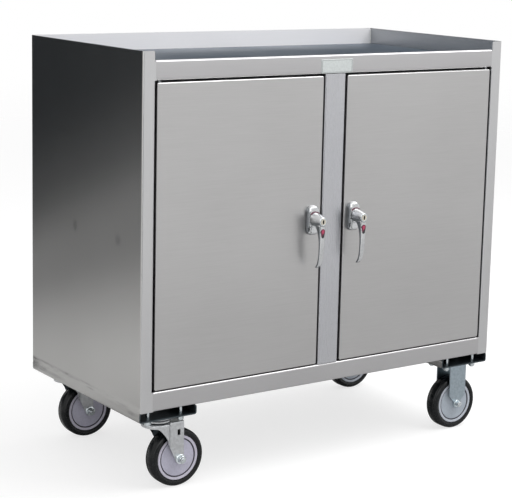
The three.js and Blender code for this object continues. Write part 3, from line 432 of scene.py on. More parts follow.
# Dark behind the key slot, a painted shade
KEYWAY_PAINTED_SHADE = smooth_metal("keyway", (0.02, 0.02, 0.02), 0.6)
WELD_METAL = smooth_metal("weld_bead", (0.62, 0.62, 0.61), 0.3, 0.25, 900.0, pits=0.0002)
PLATE_METAL = smooth_metal("plate_metal", (0.62, 0.655, 0.65), 0.36, 0.05, 300.0)
HUB_PLASTIC = moulded("hub_core", (0.46, 0.45, 0.545), 0.4, dust=0.2)
HUB_RIM = moulded("hub_rim", (0.54, 0.52, 0.61), 0.38, dust=0.2)
# Right-hand cores: the same plastic bluer, for the cooler light on that side, a painted light
HUB_CORE_RIGHT_PAINTED_LIGHT = moulded("hub_core_right_painted_light", (0.39, 0.435, 0.49), 0.4, dust=0.2)
HUB_RIM_RIGHT_PAINTED_LIGHT = moulded("hub_rim_right_painted_light", (0.50, 0.53, 0.59), 0.38, dust=0.2)
# Groove in the core: dark with dirt, and darker still as a painted shade of the recess
HUB_GROOVE_DIRT_AND_SHADE = moulded("hub_groove_dirt_and_shade", (0.06, 0.055, 0.075), 0.6)
RUBBER = moulded("tire_rubber", (0.0045, 0.0055, 0.0065), 0.26, 0.2, 500.0, grit=0.0001, dust=0.25,
                 dust_tone=0.04)
RUBBER_SPECULAR = 0.28
RUBBER.node_tree.nodes["Principled BSDF"].inputs["Specular IOR Level"].default_value = RUBBER_SPECULAR
RED_ENAMEL = moulded("red_enamel", (0.40, 0.045, 0.10), 0.35, dust=0.0)
DARK_ENAMEL = moulded("dark_red_enamel", (0.12, 0.012, 0.04), 0.4, dust=0.0)
BLACK_ENAMEL = moulded("black_enamel", (0.02, 0.02, 0.022), 0.3, dust=0.0)


# Meshes
def add_object(name, mesh, *materials):
    obj = bpy.data.objects.new(name, mesh)
    scene.collection.objects.link(obj)
    for material in materials:
        mesh.materials.append(material)
    return obj


def mesh_from(name, points, faces):
    mesh = bpy.data.meshes.new(name)
    mesh.from_pydata([tuple(point) for point in points], [], faces)
    mesh.validate()
    return mesh


def evaluated_mesh(obj, **settings):
    """What an object's modifiers or curve make, as a mesh of its own."""
    bpy.context.view_layer.update()
    graph = bpy.context.evaluated_depsgraph_get()
    return bpy.data.meshes.new_from_object(obj.evaluated_get(graph), depsgraph=graph, **settings)


def baked(obj, *steps):
    """Adds modifiers, keeps what they make as the object's own mesh, and removes them."""
    for kind, settings in steps:
        modifier = obj.modifiers.new(kind.lower(), kind)
        for key, value in settings.items():
            setattr(modifier, key, value)
    mesh = evaluated_mesh(obj, preserve_all_data_layers=True)
    obj.modifiers.clear()
    obj.data = mesh
    return obj


# Folds sharper than this angle stay sharp
SMOOTH_LIMIT = math.radians(42)
WEIGHTED = ("WEIGHTED_NORMAL", {"keep_sharp": True, "weight": 50})


def smoothed(obj, limit=SMOOTH_LIMIT):
    work = bmesh.new()
    work.from_mesh(obj.data)
    for face in work.faces:
        face.smooth = True
    for edge in work.edges:
        folded = len(edge.link_faces) == 2 and edge.calc_face_angle(0.0) > limit
        edge.smooth = not folded
    work.to_mesh(obj.data)
    work.free()
    return obj


def outward(mesh):
    work = bmesh.new()
    work.from_mesh(mesh)
    bmesh.ops.remove_doubles(work, verts=work.verts, dist=1e-7)
    bmesh.ops.recalc_face_normals(work, faces=work.faces)
    work.to_mesh(mesh)
    work.free()


def about(centre, axis, radius, turn, along):
    """Point at a radius and turn about an axis through centre, and at a place along it."""
    a, b = radius * math.cos(turn), radius * math.sin(turn)
    return centre + (Vector((a, along, b)) if axis == "Y" else Vector((a, b, along)))


def full_turn(steps):
    return [2 * math.pi * i / steps for i in range(steps)]


def skinned(name, rings, closed=False):
    """Skin over rings of points; closed joins the last ring to the first, else both ends are capped."""
    count, total = len(rings[0]), len(rings)
    faces = []
    for r in range(total if closed else total - 1):
        s = (r + 1) % total
        for i in range(count):
            j = (i + 1) % count
            faces.append((r * count + i, r * count + j, s * count + j, s * count + i))
    if not closed:
        faces += [tuple(range(count)), tuple((total - 1) * count + i for i in range(count))]
    mesh = mesh_from(name, [point for ring in rings for point in ring], faces)
    outward(mesh)
    return mesh


def revolved(name, profile, centre, axis="Y", steps=96):
    """Turns a profile of (radius, place along the axis) about an axis through centre."""
    rings = [[about(centre, axis, radius, turn, along) for radius, along in profile]
             for turn in full_turn(steps)]
    return skinned(name, rings, closed=True)


def arc(x, y, radius, start, end, steps):
    """Points on an arc between two angles in degrees."""
    turns = [math.radians(start + (end - start) * i / steps) for i in range(steps + 1)]
    return [(x + radius * math.cos(turn), y + radius * math.sin(turn)) for turn in turns]


def rounded_outline(width, height, radius, steps=8):
    x = width / 2 - radius
    y = height / 2 - radius
    return (arc(x, y, radius, 0, 90, steps) + arc(-x, y, radius, 90, 180, steps)
            + arc(-x, -y, radius, 180, 270, steps) + arc(x, -y, radius, 270, 360, steps))


# Steps round the edge of a plate
EDGE_STEPS = 2


def plate_mesh(name, outlines, thickness, edge=0.0):
    """A flat plate around z = 0 from its outline and any holes, with a rounded edge."""
    curve = bpy.data.curves.new(name, "CURVE")
    curve.dimensions = "2D"
    curve.fill_mode = "BOTH"
    curve.extrude = thickness / 2 - edge
    curve.bevel_depth = edge
    curve.bevel_resolution = EDGE_STEPS
    curve.offset = -edge
    for outline in outlines:
        spline = curve.splines.new("POLY")
        spline.points.add(len(outline) - 1)
        for point, (x, y) in zip(spline.points, outline):
            point.co = (x, y, 0.0, 1.0)
        spline.use_cyclic_u = True
    obj = bpy.data.objects.new(name, curve)
    scene.collection.objects.link(obj)
    mesh = evaluated_mesh(obj)
    bpy.data.objects.remove(obj)
    outward(mesh)
    return mesh


FACING_FRONT = Matrix.Rotation(math.radians(90), 4, "X")


def placed(mesh, place, turn=None):
    if turn is not None:
        mesh.transform(turn)
    mesh.transform(Matrix.Translation(place))
    return mesh


def settle(obj, body, slot, *nodes):
    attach(obj, body)
    if nodes:
        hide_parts(*nodes)
    return obj


# Sheet metal nodes: merged, their sheared edges eased, and shaded as flats that meet in round bends
MERGE_DISTANCE = 2e-6
FLAT_ANGLE = math.radians(0.6)
SHEARED_ANGLE = math.radians(60)
SHEARED_EASE = 0.0003
BODY_OF = {name: body for body, names in frame["record"]["behaviour"]["bodies"].items() for name in names}
SLOT_OF = {entry["node"]: entry["material_slot"] for entry in frame["record"]["subparts"]}


def refined(name, materials, pick=None):
    work = bmesh.new()
    work.from_mesh(frame["nodes"][name].data)
    bmesh.ops.remove_doubles(work, verts=work.verts, dist=MERGE_DISTANCE)
    bmesh.ops.dissolve_limit(work, angle_limit=FLAT_ANGLE, verts=work.verts, edges=work.edges)
    sheared = [edge for edge in work.edges
               if len(edge.link_faces) == 2 and edge.calc_face_angle(0.0) > SHEARED_ANGLE]
    if sheared:
        bmesh.ops.bevel(work, geom=sheared, offset=SHEARED_EASE, segments=2, profile=0.5, affect="EDGES",
                        clamp_overlap=True)
    for face in work.faces:
        face.normal_update()
        face.material_index = pick(face.calc_center_median(), face.normal) if pick else 0
    mesh = bpy.data.meshes.new(name + "_finished")
    work.to_mesh(mesh)
    work.free()
    obj = add_object(name + "_finished", mesh, *materials)
    smoothed(obj)
    baked(obj, WEIGHTED)
    return settle(obj, BODY_OF[name], SLOT_OF[name], name)


tray_low, tray_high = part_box("work_top")
back_low, back_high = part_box("back_panel")
TRAY_LEVEL = frame["record"]["mounts"][0]["pos_m"][2]
TRAY_TOLERANCE = 0.001
INWARD_FACING = 0.5


# Which material a face takes, from its place and the way it faces
def side_faces(centre, normal):
    # Inward faces take the painted shade of the inside
    if normal.x * centre.x < -INWARD_FACING * abs(centre.x):
        return 2
    # Front flanges take the lighter, painted light copy of the side's steel
    return 1 if abs(normal.y) > INWARD_FACING else 0


def tray_faces(centre, normal):
    # The tray's upward face takes the painted dark reflection
    return 1 if normal.z > INWARD_FACING and abs(centre.z - TRAY_LEVEL) < TRAY_TOLERANCE else 0


def back_faces(_, normal):
    # Faces towards the front take the painted light
    return 1 if normal.y < -INWARD_FACING else 0


def channel_faces(name):
    low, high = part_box(name)
    middle = (low + high) / 2

    def pick(centre, normal):
        towards = (middle.x - centre.x) * normal.x + (middle.z - centre.z) * normal.z
        # Inward faces and cut ends take the painted shade
        return 1 if towards > 0 or abs(normal.y) > INWARD_FACING else 0

    return pick


def finish_cabinet():
    for side in SIDES:
        refined(f"{side}_side_panel", (SIDE_STEEL, FLANGE_PAINTED_LIGHT, SIDE_INNER_SHADE), side_faces)
        refined(f"{side}_door_panel", (DOOR_STEEL,))
        channel = f"{side}_caster_channel"
        refined(channel, (SIDE_STEEL, CHANNEL_PAINTED_SHADE), channel_faces(channel))
        for piece, material in (("shelf_cleat", INNER_STEEL), ("door_stiffener", INNER_STEEL),
                                ("latch_cam", BRIGHT_ZINC), ("spindle_nut", BRIGHT_ZINC)):
            refined(f"{side}_{piece}", (material,))
        for piece in ("lower_hinge_bracket", "lower_hinge_pin", "upper_hinge_bracket", "upper_hinge_pin"):
            refined(f"{side}_{piece}", (DARK_STEEL,))
    refined("back_panel", (INNER_STEEL, LIP_PAINTED_LIGHT), back_faces)
    refined("work_top", (FRAME_STEEL, TRAY_PAINTED_REFLECTION), tray_faces)
    for piece, material in (("bottom_rail", FRAME_STEEL), ("cabinet_floor", INNER_STEEL),
                            ("centre_post", POST_STEEL), ("middle_shelf", INNER_STEEL)):
        refined(piece, (material,))


# Wheels: tire and moulded core, turned about the axle
TIRE_RADIUS = 0.060
TIRE_BORE = 0.0469
TIRE_HALF = 0.0166
TIRE_SHOULDER = 0.0075
TIRE_BEAD_HALF = 0.0152
TREAD_STEP = 0.0008
HUB_RADIUS = 0.0466
HUB_HALF = 0.015
HUB_FACE = 0.0134
HUB_BORE = 0.0051
HUB_BOSS = 0.011
HUB_BOSS_END = 0.0202
GROOVE_OUTER = 0.0409
GROOVE_INNER = 0.0385
GROOVE_DEPTH = 0.0021


def mirrored(half):
    """A half profile seen in a mirror that stands across the axis, in the order that closes it."""
    return [(radius, -along) for radius, along in reversed(half)]


def tire_profile():
    shoulder_x = TIRE_RADIUS - TIRE_SHOULDER
    shoulder_y = TIRE_HALF - TIRE_SHOULDER
    half = [(TIRE_BORE, 0.0), (TIRE_BORE, TIRE_BEAD_HALF - 0.0008), (TIRE_BORE + 0.0006, TIRE_BEAD_HALF)]
    half += [(TIRE_BORE + 0.0022, TIRE_BEAD_HALF), (TIRE_BORE + 0.003, TIRE_BEAD_HALF + 0.0008)]
    half += arc(shoulder_x, shoulder_y, TIRE_SHOULDER, 90, 22, 8)
    half += [(TIRE_RADIUS - 2 * TREAD_STEP, shoulder_y + 0.0012), (TIRE_RADIUS - TREAD_STEP, shoulder_y)]
    half += [(TIRE_RADIUS, shoulder_y - 0.0008), (TIRE_RADIUS, 0.0)]
    return half + mirrored(half[1:-1])


def hub_profile():
    groove_floor = HUB_FACE - GROOVE_DEPTH
    half = [(HUB_BORE, HUB_BOSS_END), (HUB_BOSS - 0.001, HUB_BOSS_END), (HUB_BOSS, HUB_BOSS_END - 0.001)]
    half += [(HUB_BOSS + 0.0002, HUB_FACE + 0.003), (HUB_BOSS + 0.0012, HUB_FACE + 0.0012)]
    half += [(HUB_BOSS + 0.0035, HUB_FACE), (GROOVE_INNER - 0.0006, HUB_FACE)]
    half += [(GROOVE_INNER, HUB_FACE - 0.0006), (GROOVE_INNER + 0.0004, groove_floor)]
    half += [(GROOVE_OUTER - 0.0004, groove_floor), (GROOVE_OUTER, HUB_FACE)]
    half += [(GROOVE_OUTER + 0.0005, HUB_HALF - 0.0003), (GROOVE_OUTER + 0.0012, HUB_HALF)]
    half += [(HUB_RADIUS - 0.0008, HUB_HALF), (HUB_RADIUS, HUB_HALF - 0.0008)]
    return half + mirrored(half)


def paint_hub(obj, centre):
    for polygon in obj.data.polygons:
        away = polygon.center - centre
        radius = math.hypot(away.x, away.z)
        # Faces in the groove take the dark of dirt and painted shade
        if abs(away.y) < HUB_FACE - 0.0002 and GROOVE_INNER < radius < GROOVE_OUTER:
            polygon.material_index = 2
        elif radius > GROOVE_OUTER:
            polygon.material_index = 1


def wheel_centre(end, side):
    low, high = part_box(f"{end}_{side}_tire")
    return (low + high) / 2


def add_wheels():
    for end, side in CORNERS:
        name = f"{end}_{side}"
        centre = wheel_centre(end, side)
        tire_mesh = revolved(f"{name}_rubber", tire_profile(), centre, steps=128)
        tire = smoothed(add_object(f"{name}_rubber", tire_mesh, RUBBER), ROUND_ANGLE)
        settle(tire, f"{name}_wheel", "tire_rubber", f"{name}_tire")
        hub_mesh = revolved(f"{name}_core", hub_profile(), centre)
        # Right-hand wheels take the painted light copies of the core's plastic
        tones = (HUB_PLASTIC, HUB_RIM) if side == "left" else (HUB_CORE_RIGHT_PAINTED_LIGHT, HUB_RIM_RIGHT_PAINTED_LIGHT)
        hub = add_object(f"{name}_core", hub_mesh, *tones, HUB_GROOVE_DIRT_AND_SHADE)
        paint_hub(hub, centre)
        settle(smoothed(hub), f"{name}_wheel", "hub_plastic", f"{name}_hub")


# Hexagon heads and nuts: six flats whose corners are turned off by a cone
HEX_STEPS = 72
FLAT_SHARE = math.cos(math.pi / 6)
# Chamfer: its depth against how far the corners stand out, where it begins on the flats, and its steps
CHAMFER_DEPTH = 0.75
CHAMFER_START = 0.98
CHAMFER_SHARES = (0.0, 0.33, 0.66, 1.0)
# Folds sharper than these angles stay sharp on fasteners, and on tires and collars
FASTENER_ANGLE = math.radians(25)
ROUND_ANGLE = math.radians(50)


def hex_radius(turn, across_corners):
    return across_corners * FLAT_SHARE / math.cos((turn + math.pi / 6) % (math.pi / 3) - math.pi / 6)


def even(along, radius):
    """A round ring: its place along the axis, and its radii."""
    return along, [radius] * HEX_STEPS


def hex_rings(across_corners, start, end, bore, chamfered_ends=(True, True)):
    """Rings of a hexagon along its axis, the ends chamfered, between two rings of its bore."""
    depth = (1 - FLAT_SHARE) * across_corners * CHAMFER_DEPTH
    levels = []
    for at_end, place, inward in ((chamfered_ends[0], start, 1), (chamfered_ends[1], end, -1)):
        steps = CHAMFER_SHARES if at_end else (0.0,)
        levels += [(place + inward * depth * share, share if at_end else 1.0) for share in steps[::inward]]
    inner = across_corners * FLAT_SHARE * CHAMFER_START
    rings = []
    for along, share in levels:
        limit = inner + (across_corners - inner) * share
        rings.append((along, [min(hex_radius(turn, across_corners), limit) for turn in full_turn(HEX_STEPS)]))
    return [even(start, bore)] + rings + [even(end, bore)]


def ring_mesh(name, rings, centre, axis, closed=False):
    """Skin over rings that are given by their place along the axis and their radii."""
    turns = full_turn(HEX_STEPS)
    points = [[about(centre, axis, radius, turn, along) for turn, radius in zip(turns, radii)]
              for along, radii in rings]
    return skinned(name, points, closed)


def joined_mesh(name, meshes):
    work = bmesh.new()
    for mesh in meshes:
        work.from_mesh(mesh)
    whole = bpy.data.meshes.new(name)
    work.to_mesh(whole)
    work.free()
    return whole


def rod_rings(radius, start, end, ease):
    return [even(start, radius - ease), even(start + ease, radius), even(end - ease, radius),
            even(end, radius - ease)]


# Axles: bolt, its head, its nut, and half the distance between the legs of the fork
AXLE_RADIUS = 0.0048
AXLE_HEAD = 0.0085
AXLE_HEAD_HEIGHT = 0.006
NUT_HEIGHT = 0.0075
FORK_HALF = 0.023
# Collar's radius and height, corner radius of the nut, and tail of the bolt past it
AXLE_ENDS = {"left": (0.0104, 0.0034, 0.0085, 0.0035), "right": (0.0082, 0.0012, 0.0074, 0.0022)}
# Edge of the collar: share of its height, and share of the edge where its corner is cut
COLLAR_EASE = 0.3
COLLAR_CORNER = 0.3
# Thread of an axle: from its tip to full width, to the first turn, and how far it runs into the nut
AXLE_TIP = 0.0008
AXLE_TURNS = 0.001
AXLE_RUN_OUT = 0.002
# Gap between neighbouring pieces, share of a bolt's radius at its tip, and its thread
SEAM = 0.0003
BOLT_TIP_SHARE = 0.7
THREAD_PITCH = 0.00125
THREAD_DEPTH = THREAD_PITCH * 0.4


def thread_rings(radius, start, end):
    """Crests and roots as separate rings, which read as a thread at the end of a bolt."""
    rings = []
    turns = int((end - start) / THREAD_PITCH)
    for i in range(turns):
        place = start + i * THREAD_PITCH
        rings += [even(place, radius - THREAD_DEPTH), even(place + THREAD_PITCH / 2, radius)]
    return rings + [even(start + turns * THREAD_PITCH, radius - THREAD_DEPTH)]


def axle_meshes(centre, side):
    """The bolt with its head at the back, and the nut and collar at the front, about one axle."""
    collar_radius, collar_height, nut_corner, tail = AXLE_ENDS[side]
    head_start = FORK_HALF + SEAM
    nut_back = -FORK_HALF - SEAM
    nut_front = nut_back - collar_height - NUT_HEIGHT
    tail_end = nut_front - tail
    shank = [even(tail_end, AXLE_RADIUS * BOLT_TIP_SHARE), even(tail_end + AXLE_TIP, AXLE_RADIUS)]
    shank += thread_rings(AXLE_RADIUS, tail_end + AXLE_TURNS, nut_front + AXLE_TURNS)
    shank += [even(nut_front + AXLE_RUN_OUT, AXLE_RADIUS), even(head_start, AXLE_RADIUS)]
    head = hex_rings(AXLE_HEAD, head_start, head_start + AXLE_HEAD_HEIGHT, 0.0, (False, True))[1:-1]
    bolt = joined_mesh("axle_bolt", [
        ring_mesh("shank", shank, centre, "Y"),
        ring_mesh("head", head, centre, "Y"),
    ])
    bore = AXLE_RADIUS + SEAM
    edge = collar_height * COLLAR_EASE
    cut = edge * COLLAR_CORNER
    face = nut_back - collar_height
    collar = [even(nut_back, bore), even(nut_back, collar_radius), even(face + edge, collar_radius),
              even(face + cut, collar_radius - cut), even(face, collar_radius - edge), even(face, bore)]
    nut = hex_rings(nut_corner, nut_front, face, bore)
    return bolt, ring_mesh("axle_nut", nut, centre, "Y", True), ring_mesh("collar", collar, centre, "Y", True)


def add_axles():
    for end, side in CORNERS:
        name = f"{end}_{side}"
        body = BODY_OF[f"{name}_axle_bolt"]
        bolt, nut, collar = axle_meshes(wheel_centre(end, side), side)
        for mesh, piece in ((bolt, "axle_bolt"), (nut, "axle_nut")):
            obj = smoothed(add_object(f"{name}_{piece}_finished", mesh, BRIGHT_ZINC), FASTENER_ANGLE)
            settle(obj, body, "bright_fasteners", f"{name}_{piece}")
        ring = smoothed(add_object(f"{name}_axle_collar", collar, COLLAR_ZINC), ROUND_ANGLE)
        settle(ring, body, "bright_fasteners")


# Casters, measured down from the top of their plate
AXLE_DROP = 0.094
PLATE_LENGTH = 0.090
PLATE_WIDTH = 0.064
PLATE_THICKNESS = 0.003
PLATE_CORNER = 0.007
PLATE_EDGE = 0.0004
RACE_RADIUS = 0.028
RACE_FLOOR = -0.0089
RACE_BEND = 0.0025
KINGPIN_RADIUS = 0.006
KINGPIN_HEAD = 0.005
SWIVEL_TRAIL = 0.040
YOKE_SHEET = 0.0025
YOKE_RADIUS = 0.033
YOKE_TOP = -0.0147
YOKE_SKIRT = 0.008
YOKE_EDGE = 0.0032
YOKE_CREASE = 0.0167
YOKE_MEET = 74.5
YOKE_END = 0.0487
YOKE_LEAD = -0.016
FOOT_RADIUS = 0.011
SLOT_LEFT = 0.0334
SLOT_RIGHT = 0.040
SLOT_TOP = 0.017
SLOT_HEIGHT = 0.012
RIGID_HALF = 0.0235
RIGID_BEND = 0.005
RIGID_TAPER = 0.031


def caster_top(end, side):
    """Centre of the caster's plate, on its top face."""
    wheel = wheel_centre(end, side)
    trail = SWIVEL_TRAIL if side == "left" else 0.0
    return Vector((wheel.x - trail, wheel.y, wheel.z + AXLE_DROP))


def race_profile():
    under = -PLATE_THICKNESS
    hole = KINGPIN_RADIUS + SEAM
    bend = 2 * RACE_BEND
    return [
        (RACE_RADIUS + 0.0035, under + 0.0004),
        (RACE_RADIUS + 0.0018, under - 0.0004),
        (RACE_RADIUS + 0.0006, under - 0.0017),
        *arc(RACE_RADIUS - bend, RACE_FLOOR + bend, bend, 0, -90, 10),
        (hole, RACE_FLOOR),
        (hole, RACE_FLOOR + 0.002),
        (RACE_RADIUS - bend, RACE_FLOOR + 0.0026),
        (RACE_RADIUS - 0.003, under + 0.0006),
    ]


def add_plates():
    for end, side in CORNERS:
        name = f"{end}_{side}"
        top = caster_top(end, side)
        outline = rounded_outline(PLATE_LENGTH, PLATE_WIDTH, PLATE_CORNER)
        plate = plate_mesh(f"{name}_plate", [outline], PLATE_THICKNESS, PLATE_EDGE)
        parts = [placed(plate, top - Vector((0, 0, PLATE_THICKNESS / 2)))]
        if side == "left":
            parts.append(revolved(f"{name}_race", race_profile(), top, "Z"))
        obj = smoothed(add_object(f"{name}_plate_finished", joined_mesh(f"{name}_plate", parts), ZINC))
        baked(obj, WEIGHTED)
        settle(obj, "carcass", "zinc_plate", *([f"{name}_caster_plate"] if side == "left" else []))


def grid_faces(columns, rows, missing=()):
    faces = []
    for c in range(columns - 1):
        for r in range(rows - 1):
            if (c, r) not in missing:
                a = c * rows + r
                faces.append((a, a + 1, a + rows + 1, a + rows))
    return faces


# Places of the columns along one leg, closer together at its end, its slot and its crease
LEG_PLACES = (
    YOKE_END, 0.0475, 0.0455, 0.043, SLOT_RIGHT, 0.0378, 0.0356, SLOT_LEFT, 0.0315, 0.0302, 0.0292, 0.028,
    0.0266, 0.0252, 0.0238, 0.0222, 0.0206, 0.0192, 0.0178,
)
FLARE_STEPS = 9
FLARE_SWELL = 0.0006
CROWN_STEPS = 60
# Share of the foot's radius at which the rake runs into its round end
FOOT_MEET = 0.93


def yoke_plan():
    """Outline of the yoke seen from above, from the end of one leg round the crown to the other."""
    meet_x = YOKE_RADIUS * math.cos(math.radians(YOKE_MEET))
    meet_y = YOKE_RADIUS * math.sin(math.radians(YOKE_MEET))
    half = [(x, FORK_HALF) for x in LEG_PLACES]
    for i in range(FLARE_STEPS):
        share = i / FLARE_STEPS
        swell = math.sin(math.pi * share) * FLARE_SWELL
        x = YOKE_CREASE + (meet_x - YOKE_CREASE) * share
        y = FORK_HALF + (meet_y - FORK_HALF) * share
        half.append((x + swell, y - swell))
    crown = arc(0, 0, YOKE_RADIUS, YOKE_MEET, 360 - YOKE_MEET, CROWN_STEPS)
    return half + crown + [(x, -y) for x, y in reversed(half)]


# Rake of the legs: parts of the drop, each with its power of the way along, and where the foot's round ends
YOKE_RAKE = ((0.3, 2.2), (0.7, 1.25))
FOOT_LIMIT = 0.999


def yoke_bottom(x):
    """Lower edge of the yoke's wall at a place along its length: skirt, swept rake, then the foot."""
    skirt = YOKE_TOP - YOKE_SKIRT
    foot_start = SWIVEL_TRAIL - FOOT_RADIUS * FOOT_MEET
    if x <= YOKE_LEAD:
        return skirt
    if x < foot_start:
        share = (x - YOKE_LEAD) / (foot_start - YOKE_LEAD)
        drop = sum(part * share ** power for part, power in YOKE_RAKE)
        foot_level = -AXLE_DROP - FOOT_RADIUS * math.sqrt(1 - FOOT_MEET ** 2)
        return skirt + (foot_level - skirt) * drop
    away = min(abs(x - SWIVEL_TRAIL) / FOOT_RADIUS, FOOT_LIMIT)
    return -AXLE_DROP - FOOT_RADIUS * math.sqrt(1 - away ** 2)


# Rows of a column: across the crown, round its edge in degrees, and above, beside and below the slot
CROWN_SHARES = (0.0, 0.35, 0.7, 1.0)
EDGE_TURNS = (18, 36, 54, 72, 90)
UPPER_ROWS = 4
SLOT_ROWS = 3
LOWER_ROWS = 12
# Where the wall is low, the rows above and beside the slot end at these shares of its height
UPPER_SHARE = 0.25
SLOT_SHARE = 0.5


def yoke_column(x, y):
    """Points down one column: from the pin hole over the crown and its rounded edge to the bottom."""
    reach = math.hypot(x, y)
    inward = Vector((x, y)) / reach
    if abs(y) <= FORK_HALF + 1e-6:
        inward = Vector((0, math.copysign(1, y)))
    hole = Vector((x, y)) / reach * (KINGPIN_RADIUS + SEAM)
    edge_start = Vector((x, y)) - inward * YOKE_EDGE
    column = []
    for share in CROWN_SHARES:
        spot = hole.lerp(edge_start, share)
        column.append(Vector((spot.x, spot.y, YOKE_TOP)))
    for turn in EDGE_TURNS:
        angle = math.radians(turn)
        spot = edge_start + inward * (YOKE_EDGE * math.sin(angle))
        column.append(Vector((spot.x, spot.y, YOKE_TOP - YOKE_EDGE * (1 - math.cos(angle)))))
    wall_top = YOKE_TOP - YOKE_EDGE
    total = wall_top - yoke_bottom(x)
    upper = min(SLOT_TOP - YOKE_EDGE, UPPER_SHARE * total)
    lower = min(SLOT_TOP + SLOT_HEIGHT - YOKE_EDGE, SLOT_SHARE * total)
    for start, end, rows in ((0, upper, UPPER_ROWS), (upper, lower, SLOT_ROWS), (lower, total, LOWER_ROWS)):
        for i in range(1, rows + 1):
            column.append(Vector((x, y, wall_top - start - (end - start) * i / rows)))
    return column


def yoke_mesh(name, top):
    plan = yoke_plan()
    columns = [yoke_column(x, y) for x, y in plan]
    rows = len(columns[0])
    slot_first = len(CROWN_SHARES) + len(EDGE_TURNS) - 1 + UPPER_ROWS
    missing = set()
    for c, ((x0, y0), (x1, _)) in enumerate(zip(plan, plan[1:])):
        if SLOT_LEFT < (x0 + x1) / 2 < SLOT_RIGHT and abs(y0) == FORK_HALF:
            missing.update((c, slot_first + r) for r in range(SLOT_ROWS))
    points = [top + point for column in columns for point in column]
    faces = grid_faces(len(columns), rows, missing)
    return mesh_from(name, points, faces)


def yoke_deck(name, top):
    """Flat of the crown between the legs, level with the rest of it."""
    turn = math.degrees(math.atan2(FORK_HALF, YOKE_END))
    outline = [(YOKE_END, -FORK_HALF + YOKE_EDGE), (YOKE_END, FORK_HALF - YOKE_EDGE)]
    outline += arc(0, 0, KINGPIN_RADIUS + SEAM, turn, -turn, 6)
    place = top + Vector((0, 0, YOKE_TOP - YOKE_SHEET / 2))
    return add_object(f"{name}_yoke_deck", placed(plate_mesh("deck", [outline], YOKE_SHEET), place), ZINC)


# Sheet that is given its thickness, its edges eased; its inner side takes the next material, a painted shade
EASED_EDGE = {"segments": 2, "limit_method": "ANGLE", "angle_limit": math.radians(50)}
FORK_SHEET = (
    ("SOLIDIFY", {"thickness": YOKE_SHEET, "offset": -1.0, "use_even_offset": False, "material_offset": 1}),
    ("BEVEL", {"width": 0.0003, **EASED_EDGE}),
)
# Radius at which a turned form closes on its axis, and the kingpin's domed head as radius and height
AXIS_HOLE = 0.0002
KINGPIN_DOME = [(AXIS_HOLE, 0.0), (0.0085, 0.0), (0.0105, 0.0012), (0.011, 0.0026), (0.011, 0.005)]


def add_yokes():
    for end in ENDS:
        name = f"{end}_left"
        top = caster_top(end, "left")
        obj = add_object(f"{name}_yoke_finished", yoke_mesh(f"{name}_yoke", top), ZINC, ZINC_SHADE)
        baked(smoothed(baked(obj, *FORK_SHEET)), WEIGHTED)
        settle(obj, f"{name}_swivel", "zinc_plate", f"{name}_yoke")
        settle(yoke_deck(name, top), f"{name}_swivel", "zinc_plate")
        drop = YOKE_SHEET + SEAM + KINGPIN_HEAD - YOKE_TOP
        shank = [(KINGPIN_RADIUS, KINGPIN_HEAD), (KINGPIN_RADIUS, drop - SEAM), (AXIS_HOLE, drop - SEAM)]
        mesh = revolved(f"{name}_kingpin", KINGPIN_DOME + shank, top - Vector((0, 0, drop)), "Z", 64)
        pin = add_object(f"{name}_kingpin_finished", mesh, ZINC)
        settle(smoothed(pin), "carcass", "zinc_plate", f"{name}_kingpin")


# Rigid fork: share of the foot's radius where its edges leave the round, and how much wider they are there
RIGID_TANGENT = 0.86
RIGID_FLARE = 0.0014
# Its rows: degrees round the foot, shares of the taper, height and width past it, and shares of the leg
RIGID_FOOT_TURNS = (3, 12, 24, 36, 48, 60, 75, 90)
RIGID_TAPER_SHARES = (0.3, 0.6, 0.85)
RIGID_SHOULDER = ((-0.0008, -0.0005), (0.0015, 0.0))
RIGID_LEG_SHARES = (0.25, 0.5, 0.75)
RIGID_ACROSS = 12


def rigid_path():
    """Folded strap of the rigid fork: (y, z, half width) from one foot over the top to the other."""
    taper_top = -AXLE_DROP - FOOT_RADIUS + RIGID_TAPER
    meet = -AXLE_DROP + FOOT_RADIUS * math.sqrt(1 - RIGID_TANGENT ** 2)
    leg = []
    for turn in RIGID_FOOT_TURNS:
        angle = math.radians(turn)
        leg.append((-AXLE_DROP - FOOT_RADIUS * math.cos(angle), FOOT_RADIUS * math.sin(angle)))
    leg.append((meet, FOOT_RADIUS * RIGID_TANGENT + RIGID_FLARE))
    for share in RIGID_TAPER_SHARES:
        leg.append((meet + (taper_top - meet) * share, FOOT_RADIUS + (RIGID_HALF - FOOT_RADIUS) * share))
    leg += [(taper_top + up, RIGID_HALF + out) for up, out in RIGID_SHOULDER]
    bend_low = -PLATE_THICKNESS - RIGID_BEND
    for share in RIGID_LEG_SHARES:
        leg.append((taper_top + (bend_low - taper_top) * share, RIGID_HALF))
    side = [(FORK_HALF, z, half) for z, half in leg]
    side += [(y, z, RIGID_HALF) for y, z in arc(FORK_HALF - RIGID_BEND, bend_low, RIGID_BEND, 0, 90, 7)]
    return [(-y, z, half) for y, z, half in side] + [(0.0, -PLATE_THICKNESS, RIGID_HALF)] + side[::-1]


def add_rigid_forks():
    across = [-1 + 2 * i / RIGID_ACROSS for i in range(RIGID_ACROSS + 1)]
    path = rigid_path()
    for end in ENDS:
        name = f"{end}_right"
        top = caster_top(end, "right")
        points = [top + Vector((half * share, y, z)) for y, z, half in path for share in across]
        mesh = mesh_from(f"{name}_fork", points, grid_faces(len(path), len(across)))
        obj = add_object(f"{name}_fork_finished", mesh, ZINC_BLUE, ZINC_SHADE_BLUE)
        if max(mesh.polygons, key=lambda polygon: polygon.center.z).normal.z < 0:
            mesh.flip_normals()
        baked(smoothed(baked(obj, *FORK_SHEET)), WEIGHTED)
        settle(obj, "carcass", "zinc_plate", f"{name}_fork")


